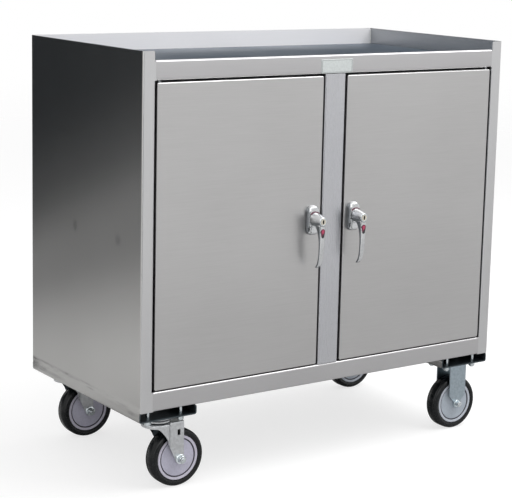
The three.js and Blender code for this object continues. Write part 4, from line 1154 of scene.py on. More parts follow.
# Repeated small parts, made by geometry nodes
def geometry_tree(name, inputs, build):
    tree = bpy.data.node_groups.new(name, "GeometryNodeTree")
    for label, kind, default in inputs:
        socket = tree.interface.new_socket(name=label, in_out="INPUT", socket_type=kind)
        if default is not None:
            socket.default_value = default
    tree.interface.new_socket(name="Geometry", in_out="OUTPUT", socket_type="NodeSocketGeometry")
    start = tree.nodes.new("NodeGroupInput")
    end = tree.nodes.new("NodeGroupOutput")
    instances = build(tree, start.outputs)
    whole = node(tree, "GeometryNodeRealizeInstances", {0: instances}).outputs[0]
    finish = {"Geometry": whole, "Material": start.outputs["Material"]}
    painted = node(tree, "GeometryNodeSetMaterial", finish).outputs[0]
    tree.links.new(painted, end.inputs[0])
    return tree


def grown(name, tree, values):
    """A plain mesh from a geometry tree, its inputs set by name."""
    obj = bpy.data.objects.new(name, bpy.data.meshes.new(name))
    scene.collection.objects.link(obj)
    modifier = obj.modifiers.new("pattern", "NODES")
    modifier.node_group = tree
    for item in tree.interface.items_tree:
        if item.item_type == "SOCKET" and item.in_out == "INPUT" and item.name in values:
            modifier[item.identifier] = values[item.name]
    mesh = evaluated_mesh(obj)
    obj.modifiers.clear()
    obj.data = mesh
    return obj


def instanced(tree, points, shape, **more):
    names = {"Points": points, "Instance": shape, **more}
    return node(tree, "GeometryNodeInstanceOnPoints", names).outputs[0]


def instanced_on_grid(tree, shape, size_x, size_y):
    names = {"Size X": size_x, "Size Y": size_y, "Vertices X": 2, "Vertices Y": 2}
    return instanced(tree, node(tree, "GeometryNodeMeshGrid", names).outputs[0], shape)


def moved(tree, shape, by):
    return node(tree, "GeometryNodeTransform", {"Geometry": shape, "Translation": by}).outputs[0]


def smooth_shaded(tree, shape):
    return node(tree, "GeometryNodeSetShadeSmooth", {0: shape}).outputs[0]


def build_bolt_pattern(tree, given):
    bolt = node(tree, "GeometryNodeObjectInfo", {"Object": given["Bolt"]}).outputs["Geometry"]
    plate = instanced_on_grid(tree, bolt, given["Bolt spacing X"], given["Bolt spacing Y"])
    plate = node(tree, "GeometryNodeRealizeInstances", {0: plate}).outputs[0]
    casters = instanced_on_grid(tree, plate, given["Caster spacing X"], given["Caster spacing Y"])
    return moved(tree, casters, given["Middle"])


# Caster bolts: radius, corner radius of the heads and nuts, spacing, and levels from the plate's top
BOLT_RADIUS = 0.004
BOLT_HEAD = 0.007
BOLT_SPACING_X = 0.076
BOLT_SPACING_Y = 0.050
BOLT_HEAD_SEAT = 0.0210
BOLT_HEAD_TOP = 0.0260
BOLT_NUT_TOP = -0.003
BOLT_NUT_BOTTOM = -0.0095
BOLT_END = -0.012
BOLT_TIP = 0.0006


def bolt_object():
    """One caster bolt about the origin: head above the channel's lip, nut and thread below the plate."""
    head = hex_rings(BOLT_HEAD, BOLT_HEAD_SEAT, BOLT_HEAD_TOP, 0.0, (False, True))[1:-1]
    nut = hex_rings(BOLT_HEAD, BOLT_NUT_BOTTOM, BOLT_NUT_TOP, 0.0, (True, False))[1:-1]
    shank = [even(BOLT_END, BOLT_RADIUS * BOLT_TIP_SHARE), even(BOLT_END + BOLT_TIP, BOLT_RADIUS),
             even(BOLT_HEAD_SEAT + SEAM, BOLT_RADIUS)]
    parts = [ring_mesh(label, rings, Vector(), "Z")
             for label, rings in (("head", head), ("nut", nut), ("shank", shank))]
    return smoothed(add_object("caster_bolt_pattern_piece", joined_mesh("caster_bolt", parts), BRIGHT_ZINC),
                    FASTENER_ANGLE)


# Input that every pattern has
MATERIAL_INPUT = ("Material", "NodeSocketMaterial", None)


def add_caster_bolts():
    tree = geometry_tree("caster_bolts", [
        ("Bolt", "NodeSocketObject", None),
        ("Bolt spacing X", FLOAT, BOLT_SPACING_X),
        ("Bolt spacing Y", FLOAT, BOLT_SPACING_Y),
        ("Caster spacing X", FLOAT, 0.78),
        ("Caster spacing Y", FLOAT, 0.38),
        ("Middle", VECTOR, ORIGIN),
        MATERIAL_INPUT,
    ], build_bolt_pattern)
    first = caster_top("front", "left")
    last = caster_top("rear", "right")
    bolt = bolt_object()
    bolts = grown("caster_bolts", tree, {
        "Bolt": bolt,
        "Bolt spacing X": BOLT_SPACING_X,
        "Bolt spacing Y": BOLT_SPACING_Y,
        "Caster spacing X": last.x - first.x,
        "Caster spacing Y": last.y - first.y,
        "Middle": tuple((first + last) / 2),
        "Material": BRIGHT_ZINC,
    })
    bpy.data.objects.remove(bolt)
    settle(smoothed(bolts, FASTENER_ANGLE), "carcass", "bright_fasteners")


def build_ball_race(tree, given):
    circle = {"Vertices": given["Count"], "Radius": given["Circle radius"]}
    places = node(tree, "GeometryNodeMeshCircle", circle).outputs[0]
    sphere = {"Segments": 20, "Rings": 12, "Radius": given["Ball radius"]}
    ball = smooth_shaded(tree, node(tree, "GeometryNodeMeshUVSphere", sphere).outputs[0])
    return moved(tree, instanced(tree, places, ball), given["Centre"])


# Balls between the yoke and the race, their level from the plate's top
BALL_RADIUS = 0.0024
BALL_CIRCLE = 0.0235
BALL_COUNT = 26
BALL_LEVEL = -0.0118
# Pressed sleeve round the balls: radius and place above their centres
BALL_SLEEVE = ((0.0245, -0.0012), (0.0258, -0.0012), (0.0264, -0.0006), (0.0264, 0.0019), (0.0258, 0.0025),
               (0.0195, 0.0025), (0.0195, 0.0017), (0.0245, 0.0017))


def add_ball_races():
    tree = geometry_tree("ball_race", [
        ("Count", "NodeSocketInt", BALL_COUNT),
        ("Circle radius", FLOAT, BALL_CIRCLE),
        ("Ball radius", FLOAT, BALL_RADIUS),
        ("Centre", VECTOR, ORIGIN),
        MATERIAL_INPUT,
    ], build_ball_race)
    for end in ENDS:
        name = f"{end}_left"
        centre = caster_top(end, "left") + Vector((0, 0, BALL_LEVEL))
        balls = grown(f"{name}_balls", tree, {
            "Count": BALL_COUNT,
            "Circle radius": BALL_CIRCLE,
            "Ball radius": BALL_RADIUS,
            "Centre": tuple(centre),
            "Material": BRIGHT_ZINC,
        })
        settle(balls, f"{name}_swivel", "dark_steel")
        sleeve = revolved(f"{name}_ball_sleeve", BALL_SLEEVE, centre, "Z")
        ring = add_object(f"{name}_ball_sleeve", sleeve, ZINC)
        settle(smoothed(ring), f"{name}_swivel", "dark_steel", f"{name}_ball_ring")


# Handles, measured from the spindle on the face of the door: the base, its round front and its groove
BASE_WIDTH = 0.030
BASE_HEIGHT = 0.0618
BASE_SHIFT = -0.0012
BASE_DEPTH = 0.011
BASE_ROUND = 0.0062
BASE_STRAIGHT = 0.25
BASE_SHARES = (0.0, BASE_STRAIGHT, 0.4, 0.54, 0.66, 0.76, 0.84, 0.9, 0.945, 0.975, 0.992, 1.0)
BASE_LOWER_RADIUS = 0.011
GROOVE_HALF = 0.0138
GROOVE_WIDE = 0.0021
GROOVE_TOP = -0.0134
GROOVE_END = -0.0245
GROOVE_CUT = 0.0050
GROOVE_EASE = 0.0004
# Index line above the neck: its angles, its distances from the neck, and its depth
INDEX_FROM = 30
INDEX_TO = 140
INDEX_STEPS = 28
INDEX_INNER = 0.0002
INDEX_OUTER_SIDE = 0.0016
INDEX_OUTER_TOP = 0.0018
INDEX_THICKNESS = 0.0022
INDEX_SUNK = 0.0004
# Lever's neck, and the boss that it turns on
LEVER_REACH = 0.040
NECK_TOP = 0.0155
NECK_BOTTOM = 0.012
NECK_HALF = 0.0132
RING_STEPS = 40
BOSS_RADIUS = 0.0115
BOSS_FRONT = 0.004
BOSS_BACK = 0.0055
BOSS_EASE = 0.0006
# Lock in the end of the neck: round face, plug, dark core behind its key slot as a painted shade, and the slot
LOCK_FACE = 0.0092
PLUG_RADIUS = 0.0062
PLUG_PROUD = 0.0006
PLUG_FACE = 0.0005
PLUG_CORE = 0.00025
PLUG_CORE_SHARE = 0.9
PLUG_CORE_OVERLAP = 0.0002
SLOT_WIDTH = 0.0035
KEY_SLOT_HEIGHT = 0.0080
# Upper part of the key slot: how much wider it is, the slope that leads to it, and where it ends
KEY_SLOT_STEP = 1.15
KEY_SLOT_SLOPE = 0.0006
KEY_SLOT_UPPER = 0.55
# Ring round the lock: steps out from the plug, then in from the edge, each with its level
RING_FROM_PLUG = ((0.0002, 0.0006), (0.0003, -0.0002), (0.0008, -0.0005))
RING_FROM_EDGE = ((0.0012, -0.0004), (0.0006, 0.0), (0.0006, 0.0006))
# Castings: fineness of the fused skin, and how often it is eased
CAST_VOXEL = 0.00065
CAST_EASINGS = 6


def handle_spindle(side):
    joint = next(j for j in frame["joints"] if j["name"] == f"{side}_handle_turn")
    return Vector(joint["pos_m"])


def base_outline(inset):
    half = BASE_WIDTH / 2
    upper = BASE_HEIGHT / 2 - half
    lower = BASE_HEIGHT / 2 - BASE_LOWER_RADIUS
    lower_x = half - BASE_LOWER_RADIUS
    low_radius = BASE_LOWER_RADIUS - inset
    return (arc(0, upper, half - inset, 0, 180, 28) + arc(-lower_x, -lower, low_radius, 180, 270, 12)
            + arc(lower_x, -lower, low_radius, 270, 360, 12))


def base_rings():
    """Outlines of the domed base, from the face of the door to its front."""
    rings = []
    for share in BASE_SHARES:
        turned = max(share - BASE_STRAIGHT, 0.0) / (1 - BASE_STRAIGHT)
        inset = BASE_ROUND * (1 - math.sqrt(1 - turned ** 2))
        rings.append([Vector((x, -BASE_DEPTH * share, z + BASE_SHIFT)) for x, z in base_outline(inset)])
    return rings


# Power that squares the top of the neck and of the index line
NECK_SQUARENESS = 0.72


def squared(y):
    """Lifts the shoulders of a unit half circle, so that its top is flatter."""
    return math.copysign(abs(y) ** NECK_SQUARENESS, y)


# Neck: place from the base to the lock's face, and how far it swells past the round of the lock
NECK_STATIONS = ((0.0, 1.0), (0.15, 0.98), (0.3, 0.89), (0.45, 0.74), (0.6, 0.55), (0.75, 0.34), (0.88, 0.14),
                 (0.95, 0.04), (0.985, 0.0), (1.0, -0.05))


def neck_rings():
    start = -BASE_DEPTH
    run = -LEVER_REACH - start
    rings = []
    for share, swell in NECK_STATIONS:
        top, bottom, half_width = (LOCK_FACE + (full - LOCK_FACE) * swell
                                   for full in (NECK_TOP, NECK_BOTTOM, NECK_HALF))
        y = start + run * share
        ring = [Vector((half_width * math.cos(turn), y, math.sin(turn))) for turn in full_turn(RING_STEPS)]
        for point in ring:
            level = point.z + (squared(point.z) - point.z) * max(swell, 0.0)
            point.z = level * (top if level > 0 else bottom)
        rings.append(ring)
    return rings


# Lever arm in level slices: drop below the spindle, front and back behind the lock's face, and width
ARM_SLICES = (
    (0.001, 0.0014, 0.0270, 0.0176), (0.005, 0.0010, 0.0245, 0.0174), (0.009, 0.0008, 0.0215, 0.0168),
    (0.0145, 0.0007, 0.0168, 0.0154), (0.020, 0.0006, 0.0136, 0.0143), (0.026, 0.0006, 0.0111, 0.0135),
    (0.034, 0.0006, 0.0089, 0.0128), (0.044, 0.0008, 0.0076, 0.0123), (0.055, 0.0012, 0.0073, 0.0119),
    (0.067, 0.0020, 0.0079, 0.0115), (0.077, 0.0033, 0.0094, 0.0110), (0.0845, 0.0052, 0.0116, 0.0104),
    (0.0900, 0.0076, 0.0144, 0.0096), (0.0942, 0.0108, 0.0176, 0.0088), (0.0970, 0.0140, 0.0206, 0.0078),
    (0.0985, 0.0163, 0.0210, 0.0056),
)
ARM_SQUARENESS = 0.5


def arm_rings():
    """Lever arm: a web under the neck that narrows into a bar and curls back towards the door."""
    rings = []
    for drop, front, back, width in ARM_SLICES:
        middle = -LEVER_REACH + (front + back) / 2
        ring = []
        for turn in full_turn(RING_STEPS):
            c, s = math.cos(turn), math.sin(turn)
            x = math.copysign(abs(c) ** ARM_SQUARENESS, c) * width / 2
            y = math.copysign(abs(s) ** ARM_SQUARENESS, s) * (back - front) / 2
            ring.append(Vector((x, middle + y, -drop)))
        rings.append(ring)
    return rings


def cast_together(name, parts, place, material):
    """Fuses overlapping forms into one skin and eases the joints between them, as in a casting."""
    obj = add_object(name, placed(joined_mesh(name, parts), place), material)
    baked(obj, ("REMESH", {"mode": "VOXEL", "voxel_size": CAST_VOXEL, "adaptivity": 0.0}),
          ("SMOOTH", {"factor": 0.5, "iterations": CAST_EASINGS}))
    for polygon in obj.data.polygons:
        polygon.use_smooth = True
    return obj


# How far a face of a casting must turn to the side or down to take the painted shade
FLANK_FACING = 0.72
ARM_FLANK_FACING = -0.8
UNDER_FACING = -0.12


def painted_shade_on(obj, chosen):
    """Gives a painted shade, a darker and duller copy of the casting's metal, to the faces that are chosen."""
    obj.data.materials.append(CAST_PAINTED_SHADE)
    for polygon in obj.data.polygons:
        if chosen(polygon.center, polygon.normal):
            polygon.material_index = 1


def add_handle_base(side, spindle):
    body = f"{side}_door"
    back = spindle + Vector((0, -SEAM, 0))
    mesh = placed(skinned(f"{side}_base", base_rings()), back)
    base = add_object(f"{side}_handle_base_finished", mesh, CAST_CHROME)
    inner = GROOVE_HALF - GROOVE_WIDE
    under = GROOVE_TOP - GROOVE_WIDE
    groove = [(-GROOVE_HALF, GROOVE_END), (-inner, GROOVE_END), (-inner, under), (inner, under),
              (inner, GROOVE_END), (GROOVE_HALF, GROOVE_END), (GROOVE_HALF, GROOVE_TOP),
              (-GROOVE_HALF, GROOVE_TOP)]
    front = back + Vector((0, -BASE_DEPTH, 0))
    cutter_mesh = placed(plate_mesh("groove", [groove], 2 * GROOVE_CUT), front, FACING_FRONT)
    cutter = add_object("groove_cutter", cutter_mesh, CAST_CHROME)
    baked(base, ("BOOLEAN", {"operation": "DIFFERENCE", "object": cutter, "solver": "EXACT"}),
          ("BEVEL", {"width": GROOVE_EASE, **EASED_EDGE}))
    bpy.data.objects.remove(cutter)
    baked(smoothed(base), WEIGHTED)
    painted_shade_on(base, lambda centre, normal: abs(normal.x) > FLANK_FACING or normal.z < -FLANK_FACING)
    settle(base, body, "bright_casting", f"{side}_handle_base")
    strip = [(x * (NECK_HALF + INDEX_OUTER_SIDE), squared(y) * (NECK_TOP + INDEX_OUTER_TOP))
             for x, y in arc(0, 0, 1, INDEX_FROM, INDEX_TO, INDEX_STEPS)]
    strip += [(x * (NECK_HALF + INDEX_INNER), squared(y) * (NECK_TOP + INDEX_INNER))
              for x, y in arc(0, 0, 1, INDEX_TO, INDEX_FROM, INDEX_STEPS)]
    mark = plate_mesh(f"{side}_index_arc", [strip], INDEX_THICKNESS)
    mark = placed(mark, front + Vector((0, INDEX_SUNK, 0)), FACING_FRONT)
    settle(add_object(f"{side}_index_arc", mark, DARK_ENAMEL), body, "bright_casting")


def add_handle(side):
    spindle = handle_spindle(side)
    add_handle_base(side, spindle)
    body = f"{side}_handle"
    boss = rod_rings(BOSS_RADIUS, -BASE_DEPTH - BOSS_FRONT, -BASE_DEPTH + BOSS_BACK, BOSS_EASE)
    lever = cast_together(f"{side}_lever_finished", [
        skinned("neck", neck_rings()),
        skinned("arm", arm_rings()),
        ring_mesh("boss", boss, Vector(), "Y"),
    ], spindle + Vector((0, -2 * SEAM, 0)), CAST_CHROME)
    # Painted shade on the lever: the left side of the arm and the undersides of the neck
    low = spindle.z - LOCK_FACE
    painted_shade_on(lever, lambda centre, normal: (normal.x < ARM_FLANK_FACING if centre.z < low
                                           else normal.z < UNDER_FACING))
    settle(lever, body, "bright_casting", f"{side}_handle_lever")
    face = -LEVER_REACH - 2 * SEAM
    profile = [(PLUG_RADIUS + out, face + level) for out, level in RING_FROM_PLUG]
    profile += [(LOCK_FACE - inward, face + level) for inward, level in RING_FROM_EDGE]
    ring = revolved(f"{side}_lock_ring", profile, spindle, "Y", 64)
    settle(smoothed(add_object(f"{side}_lock_ring", ring, BRIGHT_ZINC)), body, "bright_casting")
    add_lock(side, spindle, face - PLUG_PROUD + PLUG_FACE)
    add_inset(side, spindle)


def add_lock(side, spindle, back):
    """The plug with its key slot, and the dark core behind it as the slot's painted shade; back is the level of
    the plug's rear.
    """
    half = SLOT_WIDTH / 2
    tall = KEY_SLOT_HEIGHT / 2
    step = KEY_SLOT_STEP * half
    keyway = [(-half, -tall), (half, -tall), (half, -KEY_SLOT_SLOPE), (step, KEY_SLOT_SLOPE),
              (step, tall * KEY_SLOT_UPPER), (half, tall), (-half, tall)]
    plug = plate_mesh(f"{side}_plug", [arc(0, 0, PLUG_RADIUS, 0, 352.5, 47), keyway], PLUG_FACE)
    placed(plug, spindle + Vector((0, back - PLUG_FACE / 2, 0)), FACING_FRONT)
    plug_obj = add_object(f"{side}_lock_plug_finished", plug, LOCK_METAL)
    settle(smoothed(plug_obj), f"{side}_lock", "lock_brass", f"{side}_lock_plug")
    core = plate_mesh(f"{side}_plug_core", [arc(0, 0, PLUG_RADIUS * PLUG_CORE_SHARE, 0, 350, 35)], PLUG_CORE)
    placed(core, spindle + Vector((0, back - PLUG_CORE_OVERLAP + PLUG_CORE / 2, 0)), FACING_FRONT)
    settle(add_object(f"{side}_plug_core", core, KEYWAY_PAINTED_SHADE), f"{side}_lock", "lock_brass")


# Inset on the lever, down from the spindle: its outline, rim, and where its foot begins
INSET_TOP = -0.0146
INSET_UPPER_RADIUS = 0.0054
INSET_LOWER_RADIUS = 0.0034
INSET_HEIGHT = 0.0192
INSET_RIM = 0.0019
INSET_SPLIT = -0.0128
INSET_SUNK = 0.0003
RIM_THICKNESS = 0.0014
RIM_EDGE = 0.0003
FIELD_THICKNESS = 0.0018


def shield(top, upper, lower, height):
    """Round-ended outline, wide at the top and narrow at the bottom."""
    return arc(0, top - upper, upper, -8, 188, 20) + arc(0, top - height + lower, lower, 188, 352, 14)


def add_inset(side, spindle):
    """Plain enamel inset on the front of the lever, below the lock: red, a dark rim and a black foot."""
    front = spindle + Vector((0, -LEVER_REACH + INSET_SUNK, 0))
    outer = shield(INSET_TOP, INSET_UPPER_RADIUS, INSET_LOWER_RADIUS, INSET_HEIGHT)
    inner = shield(INSET_TOP - INSET_RIM, INSET_UPPER_RADIUS - INSET_RIM, INSET_LOWER_RADIUS - INSET_RIM,
                   -INSET_SPLIT - 2 * INSET_RIM)
    rim_mesh = placed(plate_mesh("rim", [outer], RIM_THICKNESS, RIM_EDGE), front, FACING_FRONT)
    rim = add_object(f"{side}_lever_inset_rim", rim_mesh, DARK_ENAMEL, BLACK_ENAMEL)
    for polygon in rim.data.polygons:
        polygon.material_index = 1 if polygon.center.z < front.z + INSET_TOP + INSET_SPLIT else 0
    field_mesh = placed(plate_mesh("field", [inner], FIELD_THICKNESS), front, FACING_FRONT)
    for piece in (rim, add_object(f"{side}_lever_inset", field_mesh, RED_ENAMEL)):
        settle(smoothed(piece), f"{side}_handle", "bright_casting")


# Blank name plate on the top rail, with a line round it
NAME_PLATE_LEFT = -0.0388
NAME_PLATE_RIGHT = 0.0415
NAME_PLATE_LOW = 0.8272
NAME_PLATE_HIGH = 0.8557
NAME_PLATE_PROUD = 0.0008
NAME_PLATE_EDGE = 0.0002
NAME_PLATE_CORNER = 0.0015
BORDER_INSET = 0.0018
BORDER_WIDTH = 0.0006
BORDER_PROUD = 0.0003
BORDER_CENTRE = 0.0001
BORDER_OUTER_CORNER = 0.001
BORDER_INNER_CORNER = 0.0006


def add_name_plate():
    width = NAME_PLATE_RIGHT - NAME_PLATE_LEFT
    height = NAME_PLATE_HIGH - NAME_PLATE_LOW
    place = Vector(((NAME_PLATE_LEFT + NAME_PLATE_RIGHT) / 2, tray_low.y - NAME_PLATE_PROUD / 2,
                    (NAME_PLATE_LOW + NAME_PLATE_HIGH) / 2))
    outline = rounded_outline(width, height, NAME_PLATE_CORNER, 5)
    mesh = plate_mesh("name_plate", [outline], NAME_PLATE_PROUD, NAME_PLATE_EDGE)
    plate = add_object("blank_name_plate", placed(mesh, place, FACING_FRONT), PLATE_METAL)
    settle(smoothed(plate), "carcass", "top_steel")
    width -= 2 * BORDER_INSET
    height -= 2 * BORDER_INSET
    outer = rounded_outline(width, height, BORDER_OUTER_CORNER, 4)
    width -= 2 * BORDER_WIDTH
    height -= 2 * BORDER_WIDTH
    inner = rounded_outline(width, height, BORDER_INNER_CORNER, 4)
    mesh = plate_mesh("name_plate_border", [outer, inner], BORDER_PROUD)
    place += Vector((0, -NAME_PLATE_PROUD / 2 - BORDER_CENTRE, 0))
    rim = add_object("blank_name_plate_border", placed(mesh, place, FACING_FRONT), DARK_STEEL)
    settle(rim, "carcass", "top_steel")


# Welds: ground flush at the front and the sides, and beads of drops laid one on the next at the back
FLANGE_INNER_EDGE = 0.4335
FILLER_WIDTH = 0.0062
FILLER_DEPTH = 0.0014
FILLER_SET_BACK = 0.00005
FILLER_TOP_EASE = 0.002
CHANNEL_INSET = 0.004
CHANNEL_ROUND = 0.005
CHANNEL_FILLER_DEPTH = 0.0018
# Turns a plate from flat on the floor to standing along a side
FACING_SIDE = Matrix(((0, 0, 1, 0), (1, 0, 0, 0), (0, 1, 0, 0), (0, 0, 0, 1)))
BEAD_RADIUS = 0.0014
BEAD_PITCH = 0.0014
BEAD_FROM_SIDE = 0.0024
BEAD_FROM_BACK = 0.0002
BEAD_TOP_EASE = 0.002
DROP_SMALLEST = 0.85
DROP_LARGEST = 1.15


def build_weld_bead(tree, given):
    places = {"Count": given["Count"], "Start Location": given["Start"], "Offset": given["Pitch"]}
    line = node(tree, "GeometryNodeMeshLine", places, mode="OFFSET").outputs[0]
    sphere = {"Radius": given["Radius"], "Subdivisions": 3}
    drop = smooth_shaded(tree, node(tree, "GeometryNodeMeshIcoSphere", sphere).outputs[0])
    sizes = {2: DROP_SMALLEST, 3: DROP_LARGEST, "Seed": given["Seed"]}
    size = node(tree, "FunctionNodeRandomValue", sizes, data_type="FLOAT").outputs[1]
    return instanced(tree, line, drop, Scale=size)


def rectangle(x0, y0, x1, y1):
    return [(x0, y0), (x1, y0), (x1, y1), (x0, y1)]


def add_ground_welds():
    """Flush fillers where the side flanges meet the rails, ground level with their faces."""
    bottom_low, bottom_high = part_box("bottom_rail")
    place = Vector((0, tray_low.y + FILLER_SET_BACK + FILLER_DEPTH / 2, 0))
    lip_high = tray_high.z - FILLER_TOP_EASE
    for label, low, high in (("lower", bottom_low.z, bottom_high.z), ("upper", tray_low.z, lip_high)):
        for side, sign in SIGNED_SIDES:
            x0, x1 = sorted((sign * FLANGE_INNER_EDGE, sign * (FLANGE_INNER_EDGE - FILLER_WIDTH)))
            mesh = plate_mesh("filler", [rectangle(x0, low, x1, high)], FILLER_DEPTH)
            placed(mesh, place, FACING_FRONT)
            settle(add_object(f"{side}_{label}_ground_weld", mesh, FLANGE_PAINTED_LIGHT), "carcass", "frame_steel")


def add_channel_welds():
    """Flush fillers along the sides, where the channels are welded under the side panels."""
    for side, sign in SIGNED_SIDES:
        low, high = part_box(f"{side}_side_panel")
        outer = high.x if sign > 0 else low.x
        outline = rectangle(low.y + CHANNEL_INSET, low.z - CHANNEL_ROUND,
                            high.y - CHANNEL_INSET, low.z + FILLER_TOP_EASE)
        mesh = plate_mesh("filler", [outline], CHANNEL_FILLER_DEPTH)
        place = Vector((outer - sign * (FILLER_SET_BACK + CHANNEL_FILLER_DEPTH / 2), 0, 0))
        filler = add_object(f"{side}_channel_ground_weld", placed(mesh, place, FACING_SIDE), SIDE_STEEL)
        settle(filler, "carcass", "side_steel")


def add_corner_welds():
    """Beads in the inner corners between the sides and the back, above the work top."""
    tree = geometry_tree("weld_bead", [
        ("Count", "NodeSocketInt", 20),
        ("Start", VECTOR, ORIGIN),
        ("Pitch", VECTOR, (0.0, 0.0, BEAD_PITCH)),
        ("Radius", FLOAT, BEAD_RADIUS),
        ("Seed", "NodeSocketInt", 1),
        MATERIAL_INPUT,
    ], build_weld_bead)
    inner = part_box("left_side_panel")[0].x + BEAD_FROM_SIDE
    for seed, (side, sign) in enumerate(SIGNED_SIDES, 1):
        start = Vector((-sign * inner, back_low.y + BEAD_FROM_BACK, TRAY_LEVEL))
        bead = grown(f"{side}_back_corner_weld", tree, {
            "Count": int((back_high.z - BEAD_TOP_EASE - start.z) / BEAD_PITCH),
            "Start": tuple(start),
            "Pitch": (0.0, 0.0, BEAD_PITCH),
            "Radius": BEAD_RADIUS,
            "Seed": seed,
            "Material": WELD_METAL,
        })
        settle(bead, "carcass", "top_steel")


# Studio: pale floor, soft light, and dark cards that only reflections see
FLOOR_HALF = 14.0
FLOOR_FADE_START = 2.5
FLOOR_FADE_END = 9.0
# Floor in reflections and bounced light: darker round a centre in front of the bench, a painted dark reflection;
# seen directly it is pale
FLOOR_STRETCH = (0.6, 1.0, 0.0)
FLOOR_DARK_CENTRE = (0.52, -0.9, 0.0)
FLOOR_NEAR = 0.3
FLOOR_FAR = 2.2
FLOOR_NEAR_TONE = 0.50
FLOOR_FAR_TONE = 1.0
FLOOR_SEEN_TONE = 0.35
FLOOR_CLOUDINESS = 0.03
FLOOR_GLOW = 0.7
FLOOR_ROUGHNESS = 0.9
FLOOR_SHINE = 0.1
WORLD_TONE = 0.62
# Cards: how far they stand off the floor, the left and right ones' places, and how their dark runs
CARD_LIFT = 0.004
CARD_TONE = (0.008, 0.012, 0.016, 1.0)
CARD_Y = 1.75
CARD_FRONT = 0.5
CARD_TOP = 2.6
LEFT_CARD_TOP = 1.3
CARD_OUTER = 4.5
CARD_INNER = 0.45
CARD_MIDDLE = -1.69
CARD_TILT = 0.35
CARD_RUN = 2.0
LEFT_CARD_STOPS = (
    (0.12, 0.0), (0.19, 0.06), (0.28, 0.15), (0.41, 0.30), (0.55, 0.47), (0.62, 0.60), (0.66, 0.69),
    (0.75, 0.57), (0.77, 0.64), (0.795, 0.80), (0.82, 0.89), (0.885, 0.915), (0.905, 0.95), (0.95, 0.975),
)
RIGHT_CARD_INNER = 0.5
RIGHT_CARD_LOW = 0.75
RIGHT_CARD_STOPS = ((0.5, 0.0), (1.0, 1.0))
FRONT_CARD = (-3.2, -0.9, -1.6, -3.0)
FRONT_CARD_TOP = 0.9
FRONT_CARD_STRENGTH = 0.9
# Bright strip: place, the way its width runs, its width, lowest and highest point, and strength
STRIP_PLACE = Vector((-2.6, -1.9))
STRIP_ALONG = Vector((0.58, -0.81))
STRIP_WIDTH = 0.6
STRIP_LOW = 0.0
STRIP_HIGH = 2.2
STRIP_STRENGTH = 2.0
OVERHEAD_CARD = (-2.6, 2.4, -1.6, 1.7)
OVERHEAD_LEVEL = 2.6
OVERHEAD_STRENGTH = 1.9
# Lamps: place, width, height and brightness
LAMP_AIM = Vector((0.0, 0.0, 0.5))
LAMPS = {
    "overhead_softbox": (Vector((1.1, -0.8, 2.7)), 2.8, 2.6, 3.4),
    "front_softbox": (Vector((-2.2, -3.4, 2.4)), 2.0, 1.6, 2.3),
}


def seen_directly(tree):
    path = node(tree, "ShaderNodeLightPath").outputs
    either = calculated(tree, "MAXIMUM", path["Is Camera Ray"], path["Is Glossy Ray"])
    return calculated(tree, "MAXIMUM", either, path["Is Transmission Ray"])


def floor_material():
    material, tree, shader, place = new_material("studio_floor")
    camera = node(tree, "ShaderNodeLightPath").outputs["Is Camera Ray"]
    drawn = vector_math(tree, "MULTIPLY", place, FLOOR_STRETCH)
    beside = vector_math(tree, "DISTANCE", drawn, FLOOR_DARK_CENTRE)
    # Painted dark reflection: the floor darker near the bench for every ray but the camera's
    reflected = ranged(tree, beside, FLOOR_NEAR, FLOOR_FAR, FLOOR_NEAR_TONE, FLOOR_FAR_TONE)
    plain = node(tree, "ShaderNodeCombineColor", {0: reflected, 1: reflected, 2: reflected}).outputs[0]
    tone = mixed_colour(tree, camera, plain, grey(FLOOR_SEEN_TONE))
    cloud = calculated(tree, "MULTIPLY", noise(tree, place, scale=3.0, detail=3.0), FLOOR_CLOUDINESS)
    tree.links.new(mixed_colour(tree, cloud, tone, grey(FLOOR_SEEN_TONE)), shader.inputs["Base Color"])
    tree.links.new(calculated(tree, "MULTIPLY", camera, FLOOR_GLOW), shader.inputs["Emission Strength"])
    away = vector_math(tree, "LENGTH", vector_math(tree, "MULTIPLY", place, (1.0, 1.0, 0.0)))
    tree.links.new(ranged(tree, away, FLOOR_FADE_START, FLOOR_FADE_END, 1.0, 0.0), shader.inputs["Alpha"])
    shader.inputs["Emission Color"].default_value = grey(1.0)
    shader.inputs["Roughness"].default_value = FLOOR_ROUGHNESS
    shader.inputs["Specular IOR Level"].default_value = FLOOR_SHINE
    return material


def card_material(name, stops, tilt=0.0, strength=1.0):
    """Dark that runs back and up the card by the stops, each a place along it and how dark it is."""
    material, tree, shader, place = new_material(name)
    parts = node(tree, "ShaderNodeSeparateXYZ", {0: place}).outputs
    along = calculated(tree, "ADD", calculated(tree, "SUBTRACT", parts[1], CARD_FRONT), parts[2])
    along = raised(tree, along, calculated(tree, "SUBTRACT", parts[0], CARD_MIDDLE), tilt)
    ramp = node(tree, "ShaderNodeValToRGB", {0: calculated(tree, "DIVIDE", along, CARD_RUN)})
    elements = ramp.color_ramp.elements
    elements[0].position, elements[1].position = stops[0][0], stops[-1][0]
    elements[0].color, elements[1].color = grey(stops[0][1]), grey(stops[-1][1])
    for share, alpha in stops[1:-1]:
        elements.new(share).color = grey(alpha)
    tree.links.new(calculated(tree, "MULTIPLY", ramp.outputs[0], strength), shader.inputs["Alpha"])
    shader.inputs["Base Color"].default_value = CARD_TONE
    shader.inputs["Roughness"].default_value = 1.0
    shader.inputs["Specular IOR Level"].default_value = 0.0
    return material


def glowing_material(name, strength):
    material, _, shader, _ = new_material(name)
    shader.inputs["Base Color"].default_value = grey(0.0)
    shader.inputs["Emission Color"].default_value = grey(1.0)
    shader.inputs["Emission Strength"].default_value = strength
    return material


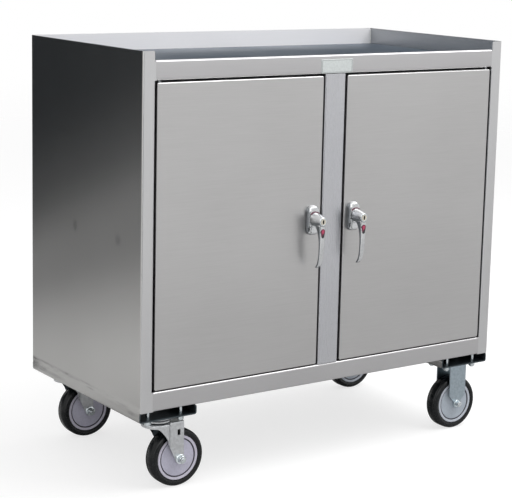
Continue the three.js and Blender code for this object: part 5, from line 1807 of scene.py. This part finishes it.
def add_card(name, corners, material):
    """A card of one upright or level sheet, or of six corners lying on the floor and folded up."""
    faces = [(0, 1, 2, 3), (3, 2, 4, 5)][:len(corners) // 2 - 1]
    card = add_object(name, mesh_from(name, corners, faces), material)
    card.visible_camera = False
    card.visible_diffuse = False
    card.visible_shadow = False


def folded_corners(x0, x1, near, far, top):
    lying = [(x0, near, CARD_LIFT), (x1, near, CARD_LIFT), (x1, far, CARD_LIFT), (x0, far, CARD_LIFT)]
    return lying + [(x1, far, top), (x0, far, top)]


def add_cards():
    add_card("left_dark_card", folded_corners(-CARD_OUTER, -CARD_INNER, CARD_FRONT, CARD_Y, LEFT_CARD_TOP),
             card_material("left_card", LEFT_CARD_STOPS, CARD_TILT))
    right = [(x, CARD_Y, z) for x, z in rectangle(RIGHT_CARD_INNER, RIGHT_CARD_LOW, CARD_OUTER, CARD_TOP)]
    add_card("right_dark_card", right, card_material("right_card", RIGHT_CARD_STOPS))
    add_card("front_dark_card", folded_corners(*FRONT_CARD, FRONT_CARD_TOP),
             card_material("front_card", ((0.0, 1.0), (1.0, 1.0)), strength=FRONT_CARD_STRENGTH))
    x0, x1, y0, y1 = OVERHEAD_CARD
    overhead = [(x, y, OVERHEAD_LEVEL) for x, y in rectangle(x0, y0, x1, y1)]
    add_card("overhead_light_card", overhead, glowing_material("overhead_light", OVERHEAD_STRENGTH))
    half = STRIP_ALONG * (STRIP_WIDTH / 2)
    strip = [(STRIP_PLACE.x + s * half.x, STRIP_PLACE.y + s * half.y, z)
             for s, z in rectangle(-1, STRIP_LOW, 1, STRIP_HIGH)]
    add_card("strip_light_card", strip, glowing_material("strip_light", STRIP_STRENGTH))


def add_lamps():
    for name, (place, width, height, radiance) in LAMPS.items():
        data = bpy.data.lights.new(name, "AREA")
        data.shape = "RECTANGLE"
        data.size = width
        data.size_y = height
        data.energy = radiance * math.pi * width * height
        lamp = bpy.data.objects.new(name, data)
        lamp.location = place
        lamp.rotation_euler = (LAMP_AIM - place).to_track_quat("-Z", "Y").to_euler()
        scene.collection.objects.link(lamp)


def add_studio():
    half = FLOOR_HALF
    corners = [(x, y, 0) for x, y in rectangle(-half, -half, half, half)]
    add_object("studio_floor", mesh_from("studio_floor", corners, [(0, 1, 2, 3)]), floor_material())
    add_cards()
    world = bpy.data.worlds.new("studio_world")
    world.use_nodes = True
    tree = world.node_tree
    tone = mixed_colour(tree, seen_directly(tree), grey(WORLD_TONE), grey(1.0))
    tree.links.new(tone, tree.nodes["Background"].inputs["Color"])
    scene.world = world
    add_lamps()
    scene.view_settings.view_transform = "Standard"


add_camera()
finish_cabinet()
add_wheels()
add_axles()
add_plates()
add_yokes()
add_rigid_forks()
add_caster_bolts()
add_ball_races()
for side in SIDES:
    add_handle(side)
add_name_plate()
add_corner_welds()
add_ground_welds()
add_channel_welds()
add_studio()
